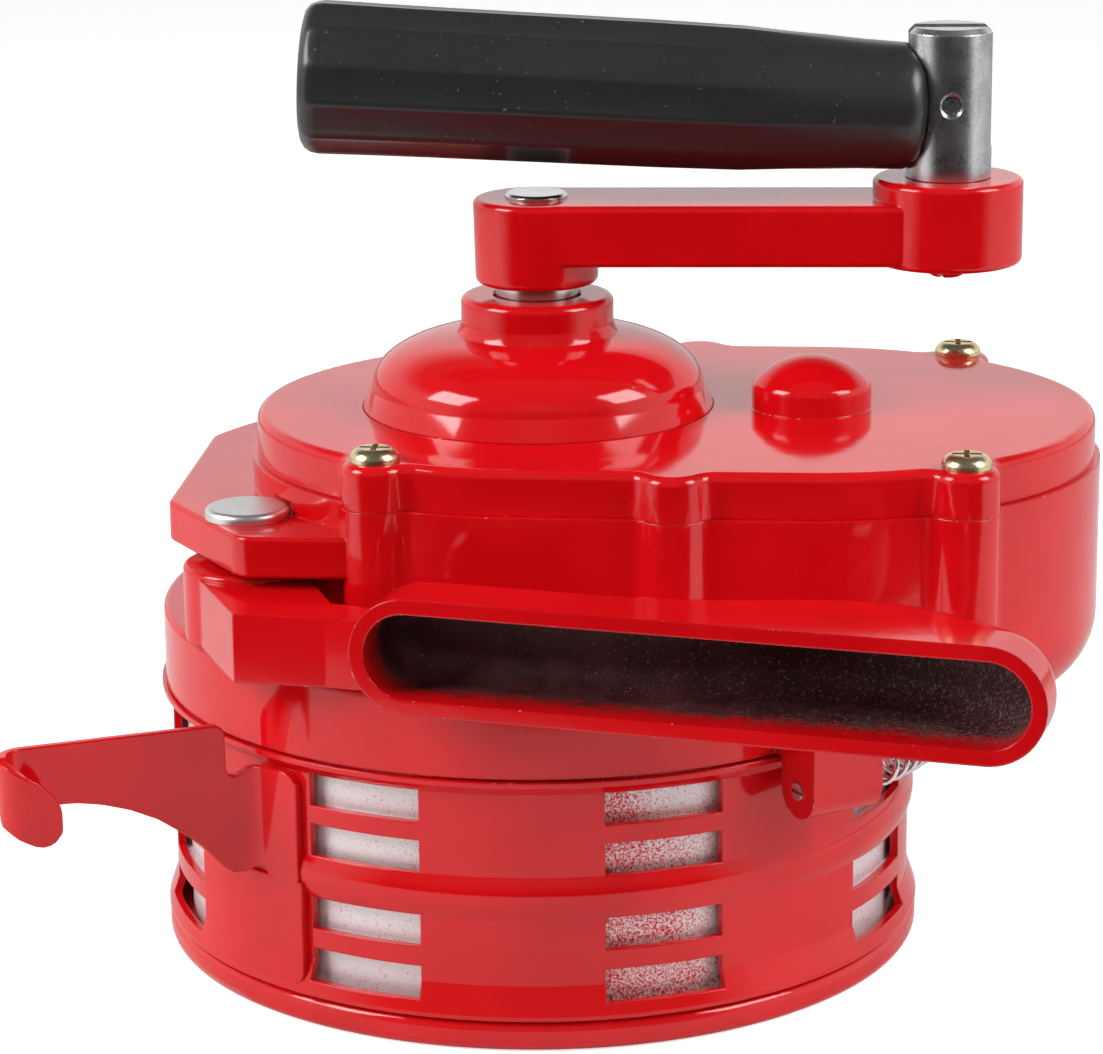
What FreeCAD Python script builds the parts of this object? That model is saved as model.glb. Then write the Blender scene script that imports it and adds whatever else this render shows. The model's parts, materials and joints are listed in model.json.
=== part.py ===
"""Hand crank siren.

A folding crank drives a reverted two-stage gear train, which spins a vaned rotor inside a ported drum. A shutter
ring round the drum, worked by a finger lever against a spring, opens and closes the sound ports. A channel
shaped handle on a rivet swings out to carry the siren.

Millimetres. The origin is on the drum axis at the level that the siren stands on, +Z is up the crank axis and
+X points from the crank axis to the countershaft.
"""
import FreeCAD
import Part
import math
import os

V = FreeCAD.Vector
UP = V(0, 0, 1)

# ---- fits ----
SEAT = 0.02            # radial gap of a pressed or pushed seat
RUN = 0.05             # radial gap of a running fit
PLAY = 0.2             # gap beside a sliding flat or under a turning shoulder
FREE = 0.4             # gap between pieces that pass each other

# ---- drum ----
STATOR_R = 71.2
STATOR_WALL = 4.7
DRUM_H = 47.5
BASE_OUT = 1.8         # base ring past the shutter ring's wall
BASE_H = 5.8
BASE_EDGE = 2.0
BAND_CLEAR = 1.2       # shutter ring's bore outside the drum
BAND_SHEET = 1.6
BAND_FLARE = 1.9
BAND_FLARE_H = 5.5
BAND_BEAD = 1.1
BAND_LIP = 1.9
BAND_LIP_H = 2.9
RIM_H = 2.2            # guide rims of the drum that the shutter ring turns on
GROUPS = 8
WINDOW_DEG = 18.0
WINDOW_FIRST = -22.0
SHUTTER_TURN = 20.0    # from closed to open
ROW_Z = (9.0, 19.2, 33.8, 43.7)
ROW_H = 6.4
SCREW_DEG = 20.5
DRUM_SCREW_R = 1.5
DRUM_HEAD_R = 2.75
DRUM_HEAD_H = 3.0
DRUM_SCREW_BITE = 8.0

# ---- intake guard ----
GUARD_INSET = 6.0      # opening in the base ring inside the rotor
GUARD_T = 3.2
GUARD_RINGS = 3
GUARD_BAR = 3.0
GUARD_HUB_R = 14.0
GUARD_SPOKES = 8

# ---- rotor ----
ROTOR_GAP = 0.5        # radial gap between rotor and drum
ROTOR_WALL = 4.0
ROTOR_DISC = 3.9
ROTOR_LIFT = 3.4       # rotor rim above the base ring
ROTOR_DROP = 3.4       # rotor disc below the flange
ROTOR_HUB_R = 12.0
VANE_T = 2.4
ROTOR_SHAFT_R = 5.0
ROTOR_END_R = 4.0
ROTOR_END_L = 13.0
NUT_FLATS = 13.0
NUT_H = 6.5

# ---- main casting ----
FLANGE_OUT = 1.1       # flange past the shutter ring's wall
FLANGE_H = 15.2
FLANGE_EDGE = 1.2
CASE_R = 56.6
CASE_H = 29.5
CASE_WALL = 4.0
CASE_UNDER_R = 14.0
FLOOR_RISE = 1.5       # gear chamber floor above the flange
FLOOR_T = 4.5
SUMP_GAP = 2.0         # hollow in the flange past the rotor
BLEND_R = 4.0          # concave blends beside bosses
BOSS_R = 6.4
BOSS_LEFT_DEG = 118.7  # about the crank axis
BOSS_LEFT_SINK = 1.4
BOSS_RIGHT_DEG = 58.6  # about the countershaft
DOWEL_X = 29.5
DOWEL_SINK = 3.0
DOWEL_BOSS_R = 6.4
DOWEL_R = 1.5
DOWEL_L = 14.0

# ---- cover ----
COVER_STEP = 1.1       # cover's wall inside the case's
COVER_H = 8.7
COVER_EDGE = 1.8
COVER_ROOF = 4.2
DOME_R = 34.6
DOME_TOP_R = 31.0
DOME_WALL_H = 9.5
DOME_H = 16.6
NECK_R = 15.0
NECK_H = 5.2
NECK_EDGE = 1.5
SMALL_DOME_R = 11.8
SMALL_DOME_WALL_H = 4.6
SMALL_DOME_H = 10.3
SMALL_DOME_EDGE = 2.5
HEAD_R = 4.7           # cover screw heads
HEAD_H = 2.6
COVER_SCREW_R = 2.4
COVER_SCREW_L = 22.0

# ---- gears ----
MODULE = 1.5
GEAR_TEETH = 60
PINION_TEETH = 12
SHIFT = 0.3            # pinion tooth shift, taken off the gears
PRESSURE = math.radians(20.0)
BACKLASH = 0.12
GEAR_W = 7.0
PINION_EXTRA = 1.0     # pinion stands past its gear on each side
STAGE_STEP = 7.0       # between the two gears
GEAR_HUB_R = 9.0
WEB_CUT = 1.5
CRANK_SHAFT_R = 6.0
COUNTER_SEAT_R = 5.0
COUNTER_END_R = 4.0

# ---- bearings ----
CRANK_BEARING_R = 14.0
CRANK_BEARING_W = 8.0
BEARING_SPACER = 3.0
ROTOR_BEARING_R = 13.0
ROTOR_BEARING_W = 8.0
BEARING_BOSS_WALL = 4.0
BUSH_R = 6.0
BUSH_L = 10.0

# ---- lug, rivet and carry handle ----
LUG_UNDER = 16.0       # lug plate underside above the flange
LUG_T = 8.0
LUG_SIDE_SINK = 5.1    # left side inside the flange
LUG_FRONT_SINK = 4.3   # front and back inside the case wall
LUG_BACK_SINK = 8.0
LUG_CUT = (0.6, 10.8)  # corners of the slanted side from the rivet
LUG_R_OUT = 0.2
LUG_CORNER_R = 5.0
LUG_EDGE = 0.8
RIVET_OUT = 7.53       # outside the case wall
RIVET_DEG = 214.58
RIVET_R = 4.0
RIVET_HEAD_R = 8.2
RIVET_HEAD_H = 2.0
RIVET_TAIL_R = 6.0
RIVET_TAIL_H = 2.2
HANDLE_DEG = -12.7
KNUCKLE_R = 12.6
KNUCKLE_H = 14.4
HANDLE_LIFT = 0.7
NECK_DROP = 1.2        # neck top below the knuckle top
TRAY_H = 21.6
TRAY_START = 35.4
TRAY_END = 162.4
TRAY_FRONT = 41.4
TRAY_WALL = 2.8
TRAY_BACK_R = 7.5
TRAY_DEEP = 27.4
TRAY_SHALLOW = 19.5

# ---- trigger lever ----
TAB_T = 1.7
TAB_DEG = (-145.4, -122.0)
TAB_Z = (7.6, 28.0)
STRIP_DEG = (-129.0, -122.6)
STRIP_Z = (28.0, 50.0)
LEVER_BEND_R = 5.2     # to the middle of the sheet
LEVER_DEG = 205.0
LEVER_TOP = 56.8
LEVER_L = 43.5
CURL_R = 4.6
CURL_LOW = 38.6

# ---- shutter spring ----
SPRING_Z = 48.0
SPRING_OUT = 8.3       # spring's line outside the shutter ring
SPRING_WIRE = 1.1
SPRING_OD = 8.4
SPRING_TURNS = 15
SPRING_DEG = (-37.5, 2.0)
BRACKET_DEG = 4.0
BRACKET_T = 2.0
BRACKET_H = 8.0
SPRING_LUG_AT_DEG = -49.78
SPRING_LUG_DEG = 36.0
SPRING_LUG_R = 5.3
SPRING_LUG_L = 15.5
ANCHOR_R = 1.7
ANCHOR_L = 16.2

# ---- crank ----
COLLAR_R = 8.2
COLLAR_SHOW = 1.1
SHAFT_TOP_R = 6.1
SHAFT_PROUD = 1.0
ARM_DEG = 2.3
ARM_REACH = 80.1
HUB_TOP_R = 12.4
HUB_LOW_R = 12.0
HUB_H = 18.4
ARM_T = 12.0
ARM_W = 22.9
ARM_EDGE = 1.2
END_BOSS_R = 14.6
END_BOSS_RISE = 4.0
END_BOSS_DROP = 0.7

# ---- folding grip ----
POST_R = 8.3
POST_H = 29.3
POST_SPIGOT_R = 5.5
POST_SPIGOT_L = 13.0
POST_SLOT = 4.6
POST_SLOT_BELOW = 8.8
PIN_HEIGHT = 14.8      # fold pin above the boss
PIN_R = 1.5
POST_SCREW_R = 2.5
POST_SCREW_L = 20.0
POST_SCREW_HEAD_R = 4.15
POST_SCREW_HEAD_H = 2.9
TONGUE_EYE_R = 5.5
ROD_R = 3.5
ROD_L = 52.0
GRIP_TILT = 3.0
GRIP_DROP = 1.5        # grip axis below the fold pin
GRIP_NOSE = 4.4
GRIP_L = 125.5
GRIP_NOSE_R = 12.2
GRIP_END_R = 15.05
GRIP_BORE_L = 72.0
GRIP_SWELL = ((0.26, 0.46), (0.45, 0.74), (0.72, 0.84))    # share of the length, share of the growth

# ---- levels, from the base up ----
FLANGE_Z = BASE_H + DRUM_H
FLANGE_TOP = FLANGE_Z + FLANGE_H
FLOOR_Z = FLANGE_TOP + FLOOR_RISE
SUMP_Z = FLOOR_Z - FLOOR_T
PARTING_Z = FLANGE_TOP + CASE_H
COVER_TOP = PARTING_Z + COVER_H
CEILING_Z = COVER_TOP - COVER_ROOF
DOME_Z = COVER_TOP + DOME_H
NECK_TOP = DOME_Z + NECK_H
CENTRES = MODULE * (GEAR_TEETH + PINION_TEETH) / 2
GEAR_TIP_R = MODULE * (GEAR_TEETH / 2 + 1 - SHIFT)

BEARING_LOW_Z = FLANGE_Z + 0.7
BEARING_BOSS_TOP = FLOOR_Z + 2.5
ROTOR_PINION_Z = BEARING_BOSS_TOP + 0.5
COUNTER_GEAR_Z = ROTOR_PINION_Z + PINION_EXTRA
COUNTER_GEAR_TOP = COUNTER_GEAR_Z + GEAR_W
ROTOR_PINION_TOP = COUNTER_GEAR_TOP + PINION_EXTRA
CRANK_GEAR_Z = COUNTER_GEAR_TOP + STAGE_STEP
CRANK_GEAR_TOP = CRANK_GEAR_Z + GEAR_W
COUNTER_PINION_Z = CRANK_GEAR_Z - PINION_EXTRA
COUNTER_PINION_TOP = CRANK_GEAR_TOP + PINION_EXTRA
BUSH_LOW_Z = FLOOR_Z + 0.5 - BUSH_L
BUSH_HIGH_Z = CEILING_Z - 2.0
CRANK_BEARING_TOP = DOME_Z - 1.3
CRANK_BEARING_LOW = CRANK_BEARING_TOP - 2 * CRANK_BEARING_W - BEARING_SPACER
RING_T = 1.2
RING_Z = CRANK_GEAR_Z - RING_T - 0.2
CRANK_SHAFT_LOW = RING_Z - 1.7

LUG_Z = FLANGE_TOP + LUG_UNDER
LUG_TOP = LUG_Z + LUG_T
HANDLE_Z = FLANGE_TOP + HANDLE_LIFT
POCKET_R = KNUCKLE_R + 0.8

HUB_Z = NECK_TOP + COLLAR_SHOW
ARM_TOP = HUB_Z + HUB_H
ARM_Z = ARM_TOP - ARM_T
POST_Z = ARM_TOP + END_BOSS_RISE
PIN_Z = POST_Z + PIN_HEIGHT
END_BOSS_Z = ARM_Z - END_BOSS_DROP
ARM_X = ARM_REACH * math.cos(math.radians(ARM_DEG))
ARM_Y = ARM_REACH * math.sin(math.radians(ARM_DEG))

BAND_LOW = BASE_H + FREE
BAND_HIGH = FLANGE_Z - FREE

# ---- radii and places, from the drum and the case outwards ----
BAND_BORE = STATOR_R + BAND_CLEAR
BAND_R = BAND_BORE + BAND_SHEET
BASE_R = BAND_R + BASE_OUT
FLANGE_R = BAND_R + FLANGE_OUT
ROTOR_R = STATOR_R - STATOR_WALL - ROTOR_GAP
SUMP_R = ROTOR_R + SUMP_GAP
GUARD_R = ROTOR_R - GUARD_INSET
COVER_R = CASE_R - COVER_STEP
RIVET_X = (CASE_R + RIVET_OUT) * math.cos(math.radians(RIVET_DEG))
RIVET_Y = (CASE_R + RIVET_OUT) * math.sin(math.radians(RIVET_DEG))
SPRING_PATH_R = BAND_R + SPRING_OUT


# ---- helpers ----
def rod(radius, low, high, x=0.0, y=0.0):
    return Part.makeCylinder(radius, high - low, V(x, y, low))


def tube(outer, inner, low, high, x=0.0, y=0.0):
    return rod(outer, low, high, x, y).cut(rod(inner, low - 1, high + 1, x, y))


def block(x0, x1, y0, y1, z0, z1):
    return Part.makeBox(x1 - x0, y1 - y0, z1 - z0, V(x0, y0, z0))


def prism(points, low, high):
    wire = Part.makePolygon([V(x, y, low) for x, y in points + points[:1]])
    return Part.Face(wire).extrude(V(0, 0, high - low))


def upright(points, y0, y1):
    """Prism along Y of an outline given in X and Z."""
    wire = Part.makePolygon([V(x, y0, z) for x, z in points + points[:1]])
    return Part.Face(wire).extrude(V(0, y1 - y0, 0))


def turned(points):
    """Solid of revolution about Z of an outline given in radius and height."""
    wire = Part.makePolygon([V(r, 0, z) for r, z in points + points[:1]])
    return Part.Face(wire).revolve(V(0, 0, 0), UP, 360)


def spun(shape, degrees, x=0.0, y=0.0):
    copy = shape.copy()
    copy.rotate(V(x, y, 0), UP, degrees)
    return copy


def placed(shape, x, y, z=0.0):
    copy = shape.copy()
    copy.translate(V(x, y, z))
    return copy


def polar(radius, degrees):
    angle = math.radians(degrees)
    return (radius * math.cos(angle), radius * math.sin(angle))


def sector(outer, inner, low, high, start, end):
    """Part of a tube between two polar angles, in degrees."""
    disc = Part.makeCylinder(outer, high - low, V(0, 0, low), UP, end - start)
    piece = disc.cut(rod(inner, low - 1, high + 1))
    return spun(piece, start)


def edges_where(shape, test):
    return [edge for edge in shape.Edges if test(edge)]


def flat_at(height):
    """Test for edges that lie wholly at one height."""
    def test(edge):
        box = edge.BoundBox
        return abs(box.ZMin - height) < 1e-4 and abs(box.ZMax - height) < 1e-4
    return test


def one(shape):
    """The cleaned single solid of a boolean result."""
    clean = shape.removeSplitter()
    return clean.Solids[0] if len(clean.Solids) == 1 else clean


# ---- drum ----
def base_plate():
    ring = tube(BASE_R, GUARD_R - 1.0, 0, BASE_H)
    rim = edges_where(ring, lambda e: abs(e.BoundBox.XMax - BASE_R) < 0.01 and e.Curve.TypeId == "Part::GeomCircle")
    ring = ring.makeFillet(BASE_EDGE, rim)
    guard = rod(GUARD_HUB_R, 0, GUARD_T)
    for k in range(GUARD_RINGS):
        radius = GUARD_R * (k + 2) / (GUARD_RINGS + 2)
        guard = guard.fuse(tube(radius + GUARD_BAR / 2, radius - GUARD_BAR / 2, 0, GUARD_T))
    for k in range(GUARD_SPOKES):
        spoke = block(GUARD_HUB_R - 2, GUARD_R, -GUARD_BAR / 2, GUARD_BAR / 2, 0, GUARD_T)
        guard = guard.fuse(spun(spoke, k * 360 / GUARD_SPOKES))
    plate = ring.fuse(guard)
    for x, y in drum_screw_places():
        plate = plate.cut(rod(DRUM_SCREW_R + RUN, -1, BASE_H + 1, x, y))
        plate = plate.cut(rod(DRUM_HEAD_R + PLAY, -1, DRUM_HEAD_H + 0.3, x, y))
    return one(plate)


def drum_screw_places():
    return [polar(STATOR_R - STATOR_WALL / 2, SCREW_DEG + 90 * k) for k in range(4)]


def drum_screws():
    screws = []
    for x, y in drum_screw_places():
        head = rod(DRUM_HEAD_R, 0.3, DRUM_HEAD_H + 0.3, x, y)
        shank = rod(DRUM_SCREW_R, DRUM_HEAD_H, FLANGE_Z + DRUM_SCREW_BITE, x, y)
        screws.append(one(head.fuse(shank)))
    return Part.Compound(screws)


def port_rows():
    """Low and high edge of the upper and lower row of ports."""
    return [(ROW_Z[0], ROW_Z[1] + ROW_H), (ROW_Z[2], ROW_Z[3] + ROW_H)]


def rim_levels():
    """Middle heights of the bars between window rows, where the guide rims run."""
    return [(ROW_Z[k] + ROW_H + ROW_Z[k + 1]) / 2 for k in (0, 2)]


def stator():
    drum = tube(STATOR_R, STATOR_R - STATOR_WALL, BASE_H, FLANGE_Z)
    for middle in rim_levels():
        rim = tube(BAND_BORE - RUN, STATOR_R - 1, middle - RIM_H / 2, middle + RIM_H / 2)
        drum = drum.fuse(rim)
    for k in range(GROUPS):
        centre = WINDOW_FIRST + SHUTTER_TURN + k * 360 / GROUPS
        for low, high in port_rows():
            port = sector(STATOR_R + 3, STATOR_R - STATOR_WALL - 1, low, high,
                          centre - WINDOW_DEG / 2, centre + WINDOW_DEG / 2)
            drum = drum.cut(port)
    for x, y in drum_screw_places():
        drum = drum.cut(rod(DRUM_SCREW_R + RUN, BASE_H - 1, FLANGE_Z + 1, x, y))
    return one(drum)


def band_profile(skin):
    """Outline of the shutter ring's outside at a depth under its skin."""
    r = BAND_R - skin
    bead_low = ROW_Z[1] + ROW_H
    bead_high = ROW_Z[2]
    lip_z = BAND_HIGH - BAND_LIP_H
    low = V(r + BAND_FLARE, 0, BAND_LOW)
    knee = V(r + BAND_FLARE, 0, BAND_LOW + 0.8)
    wall = V(r, 0, BAND_LOW + 0.8 + BAND_FLARE_H)
    bead_a = V(r, 0, bead_low)
    bead_m = V(r + BAND_BEAD, 0, (bead_low + bead_high) / 2)
    bead_b = V(r, 0, bead_high)
    lip_a = V(r, 0, lip_z)
    lip_b = V(r + BAND_LIP, 0, BAND_HIGH - 1.0)
    top = V(r + BAND_LIP, 0, BAND_HIGH)
    return [
        Part.LineSegment(low, knee).toShape(),
        Part.LineSegment(knee, wall).toShape(),
        Part.LineSegment(wall, bead_a).toShape(),
        Part.Arc(bead_a, bead_m, bead_b).toShape(),
        Part.LineSegment(bead_b, lip_a).toShape(),
        Part.LineSegment(lip_a, lip_b).toShape(),
        Part.LineSegment(lip_b, top).toShape(),
    ]


def band_blank():
    outer = band_profile(0.0)
    inner = band_profile(BAND_SHEET)
    low = Part.makeLine(inner[0].Vertexes[0].Point, outer[0].Vertexes[0].Point)
    top = Part.makeLine(outer[-1].Vertexes[1].Point, inner[-1].Vertexes[1].Point)
    wire = Part.Wire(Part.sortEdges([low] + outer + [top] + inner)[0])
    return Part.Face(wire).revolve(V(0, 0, 0), UP, 360)


def shutter_band():
    band = band_blank()
    for k in range(GROUPS):
        centre = WINDOW_FIRST + k * 360 / GROUPS
        for low in ROW_Z:
            window = sector(BAND_R + 4, BAND_BORE - 2, low, low + ROW_H,
                            centre - WINDOW_DEG / 2, centre + WINDOW_DEG / 2)
            band = band.cut(window)
    return one(band)


# ---- trigger ----
def sheet_strip(edge, thickness, low, high):
    """Upright sheet along one plan edge, with its thickness centred on the edge."""
    start = edge.valueAt(edge.FirstParameter)
    along = edge.tangentAt(edge.FirstParameter)
    across = V(-along.y, along.x, 0) * (thickness / 2)
    corners = [start - across + UP * low, start + across + UP * low, start + across + UP * high,
               start - across + UP * high]
    pipe = Part.BRepOffsetAPI.MakePipeShell(Part.Wire(edge))
    pipe.setBiNormalMode(UP)
    pipe.add(Part.makePolygon(corners + corners[:1]))
    pipe.build()
    pipe.makeSolid()
    return pipe.shape()


def lever_start():
    return V(*polar(BAND_R + TAB_T / 2, STRIP_DEG[0]), 0)


def lever_bend_centre():
    return lever_start() + V(*polar(LEVER_BEND_R, STRIP_DEG[0]), 0)


def lever_root():
    """Where the flat of the lever starts, after its bend."""
    return lever_bend_centre() + V(*polar(LEVER_BEND_R, LEVER_DEG - 90), 0)


def trigger_lever():
    tab = sector(BAND_R + TAB_T, BAND_R, TAB_Z[0], TAB_Z[1], *TAB_DEG)
    strip = sector(BAND_R + TAB_T, BAND_R, STRIP_Z[0] - 0.5, STRIP_Z[1], *STRIP_DEG)
    plate = tab.fuse(strip)

    root = lever_root()
    out = V(*polar(1.0, LEVER_DEG), 0)
    side = V(*polar(1.0, LEVER_DEG + 90), 0)
    bend_middle = lever_bend_centre() + V(*polar(LEVER_BEND_R, (STRIP_DEG[0] + 180 + LEVER_DEG - 90) / 2), 0)
    straight_end = root + out * (LEVER_L - CURL_R - TAB_T / 2)
    curl_middle = straight_end + side * CURL_R + out * CURL_R
    curl_end = straight_end + side * (2 * CURL_R)
    bend = Part.Arc(lever_start(), bend_middle, root).toShape()
    arm_line = Part.LineSegment(root, straight_end).toShape()
    curl = Part.Arc(straight_end, curl_middle, curl_end).toShape()
    lip = Part.LineSegment(curl_end, curl_end - out * 5.0).toShape()

    low = STRIP_Z[0]
    top = LEVER_TOP + 1
    sheet = sheet_strip(bend, TAB_T, low, top).fuse(sheet_strip(arm_line, TAB_T, low, top))
    hook = sheet_strip(curl, TAB_T, low, top).fuse(sheet_strip(lip, TAB_T, low, top))

    arm_window = lever_outline([(-9.0, 31.0), (1.9, 28.8), (5.1, 31.2), (9.9, 35.5), (17.5, 41.4), (27.0, 44.6),
                                (LEVER_L + 2, 46.2), (LEVER_L + 2, LEVER_TOP), (2.6, LEVER_TOP),
                                (2.2, STRIP_Z[1]), (-9.0, STRIP_Z[1])])
    hook_window = lever_outline([(26.0, CURL_LOW + 1.4), (30.0, CURL_LOW), (LEVER_L - 3, CURL_LOW + 0.6),
                                 (LEVER_L + 2, CURL_LOW + 4.5), (LEVER_L + 2, LEVER_TOP - 3),
                                 (LEVER_L - 3, LEVER_TOP), (26.0, LEVER_TOP)])
    lever = sheet.common(arm_window).fuse(hook.common(hook_window))
    whole = plate.fuse(lever).cut(band_blank())
    return max(whole.removeSplitter().Solids, key=lambda solid: solid.Volume)


def lever_outline(points):
    """Prism across the lever's plane of an outline given along the lever and in height."""
    shape = upright(points, -40, 40)
    shape.rotate(V(0, 0, 0), UP, LEVER_DEG)
    shape.translate(lever_root())
    return shape


# ---- shutter spring ----
def spring_bracket():
    outer = SPRING_PATH_R + 3.6
    low = BAND_HIGH - BRACKET_H
    high = BAND_HIGH - BAND_LIP_H
    foot = block(BAND_R, BAND_R + BRACKET_T, -BRACKET_T / 2, 7.0, low, high)
    ear = block(BAND_R, outer, -BRACKET_T / 2, BRACKET_T / 2, low, high)
    bracket = spun(foot.fuse(ear), BRACKET_DEG).cut(band_blank())
    hole = Part.makeCylinder(1.0, 8, V(SPRING_PATH_R, -4, SPRING_Z - 1), V(0, 1, 0))
    return one(bracket.cut(spun(hole, BRACKET_DEG)))


def return_spring():
    coil_r = (SPRING_OD - SPRING_WIRE) / 2
    start, end = SPRING_DEG
    steps = SPRING_TURNS * 8
    points = []
    for k in range(steps + 1):
        share = k / steps
        turn = 2 * math.pi * SPRING_TURNS * share
        x, y = polar(SPRING_PATH_R + coil_r * math.cos(turn), start + (end - start) * share)
        points.append(V(x, y, SPRING_Z + coil_r * math.sin(turn)))
    curve = Part.BSplineCurve()
    curve.interpolate(points)
    path = Part.Wire(curve.toShape())
    along = curve.tangent(curve.FirstParameter)[0]
    out = along.cross(UP).normalize() * (SPRING_WIRE / 2)
    over = along.cross(out).normalize() * (SPRING_WIRE / 2)
    corners = [points[0] + out * math.cos(k * math.pi / 3) + over * math.sin(k * math.pi / 3) for k in range(6)]
    ring = Part.makePolygon(corners + corners[:1])
    pipe = Part.BRepOffsetAPI.MakePipeShell(path)
    pipe.setFrenetMode(True)
    pipe.add(ring)
    pipe.build()
    pipe.makeSolid()
    return pipe.shape()


def spring_lug_face():
    return V(*polar(SPRING_PATH_R, SPRING_LUG_AT_DEG), SPRING_Z)


def spring_anchor_screw():
    along = V(*polar(1.0, SPRING_LUG_DEG), 0)
    start = spring_lug_face() - along * 0.4
    screw = Part.makeCylinder(ANCHOR_R, ANCHOR_L, start, along)
    slot = block(-0.5, 0.7, -3, 3, -0.3, 0.3)
    slot.rotate(V(0, 0, 0), UP, SPRING_LUG_DEG)
    slot.translate(start)
    return one(screw.cut(slot))


# ---- gear case ----
def lobes(radius):
    """Plan face of the two-lobed case."""
    a = V(0, radius, 0)
    b = V(-radius, 0, 0)
    c = V(0, -radius, 0)
    d = V(CENTRES, -radius, 0)
    e = V(CENTRES + radius, 0, 0)
    f = V(CENTRES, radius, 0)
    edges = [Part.Arc(a, b, c).toShape(), Part.makeLine(c, d), Part.Arc(d, e, f).toShape(), Part.makeLine(f, a)]
    return Part.Face(Part.Wire(edges))


def case_bosses():
    """Centre and radius of each screw boss and dowel boss."""
    return [(x, y, BOSS_R) for x, y in screw_places()] + [(x, y, DOWEL_BOSS_R) for x, y in dowel_places()]


def screw_places():
    left = polar(CASE_R - BOSS_LEFT_SINK, BOSS_LEFT_DEG)
    right = polar(CASE_R, BOSS_RIGHT_DEG)
    return [(x, side * y) for x, y in (left, (CENTRES + right[0], right[1])) for side in (-1, 1)]


def dowel_places():
    return [(DOWEL_X, side * (CASE_R - DOWEL_SINK)) for side in (-1, 1)]


def slab(face, low, high):
    return placed(face, 0, 0, low).extrude(V(0, 0, high - low))


def bossed_slab(radius, low, high):
    """The case outline with its bosses as an upright solid, with concave blends beside each boss."""
    body = slab(lobes(radius), low, high)
    bosses = [rod(r, low, high, x, y) for x, y, r in case_bosses()]
    body = body.multiFuse(bosses).removeSplitter()

    def beside_boss(edge):
        at = edge.BoundBox.Center
        if edge.BoundBox.ZLength < high - low - 0.01:
            return False
        gaps = [abs(math.hypot(at.x - x, at.y - y) - r) for x, y, r in case_bosses()]
        on_wall = slab_edge_gap(at, radius) < 1e-3
        return min(gaps) < 1e-3 and on_wall

    return body.makeFillet(BLEND_R, edges_where(body, beside_boss))


def slab_edge_gap(at, radius):
    """Distance in plan from a point to the wall of the two-lobed outline."""
    nearest = V(min(max(at.x, 0), CENTRES), 0, 0)
    return abs(math.hypot(at.x - nearest.x, at.y) - radius)


def inner_bosses(low, high, radius):
    """The bosses where they stand inside the chamber wall."""
    solids = [rod(r, low, high, x, y) for x, y, r in case_bosses()]
    return solids[0].multiFuse(solids[1:]).common(slab(lobes(radius), low, high))


def lug_plate():
    """Plate over the handle's knuckle, cast on the side of the case."""
    radius = FLANGE_R + LUG_R_OUT
    left = -(FLANGE_R - LUG_SIDE_SINK)
    front = -(CASE_R - LUG_FRONT_SINK)
    back = CASE_R - LUG_BACK_SINK
    back_x = -math.sqrt(radius ** 2 - back ** 2)
    left_y = math.sqrt(radius ** 2 - left ** 2)
    arc_start = math.degrees(math.atan2(left_y, left))
    arc_end = math.degrees(math.atan2(back, back_x))
    arc_x, arc_y = polar(radius, (arc_start + arc_end) / 2)
    points = [V(0, front, LUG_Z), V(RIVET_X + LUG_CUT[0], front, LUG_Z), V(left, RIVET_Y + LUG_CUT[1], LUG_Z),
              V(left, left_y, LUG_Z)]
    edges = [Part.makeLine(points[k], points[k + 1]) for k in range(3)]
    edges.append(Part.Arc(points[3], V(arc_x, arc_y, LUG_Z), V(back_x, back, LUG_Z)).toShape())
    edges.append(Part.makeLine(V(back_x, back, LUG_Z), V(0, back, LUG_Z)))
    edges.append(Part.makeLine(V(0, back, LUG_Z), points[0]))
    plate = Part.Face(Part.Wire(edges)).extrude(V(0, 0, LUG_T))
    corners = edges_where(plate, lambda e: e.BoundBox.ZLength > LUG_T - 0.01 and e.BoundBox.XMax < -30)
    plate = plate.makeFillet(LUG_CORNER_R, corners)
    rims = edges_where(plate, lambda e: e.BoundBox.ZLength < 1e-4 and e.BoundBox.XMin < -1)
    return plate.makeFillet(LUG_EDGE, rims)


def spring_lug():
    """Barrel for the spring's anchor, hung on a web from the flange."""
    along = V(*polar(1.0, SPRING_LUG_DEG), 0)
    start = spring_lug_face()
    barrel = Part.makeCylinder(SPRING_LUG_R, SPRING_LUG_L, start, along)
    web = block(0, SPRING_LUG_L, -SPRING_LUG_R, SPRING_LUG_R, SPRING_Z, FLANGE_Z + 4)
    root = block(0, SPRING_LUG_L, -SPRING_LUG_R, 14, FLANGE_Z, FLANGE_Z + 4)
    hung = web.fuse(root)
    hung.rotate(V(0, 0, 0), UP, SPRING_LUG_DEG)
    hung.translate(V(start.x, start.y, 0))
    slope = hung.cut(rod(BAND_R + BAND_LIP + FREE, FLANGE_Z - 20, FLANGE_Z))
    return barrel.fuse(slope)


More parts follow.
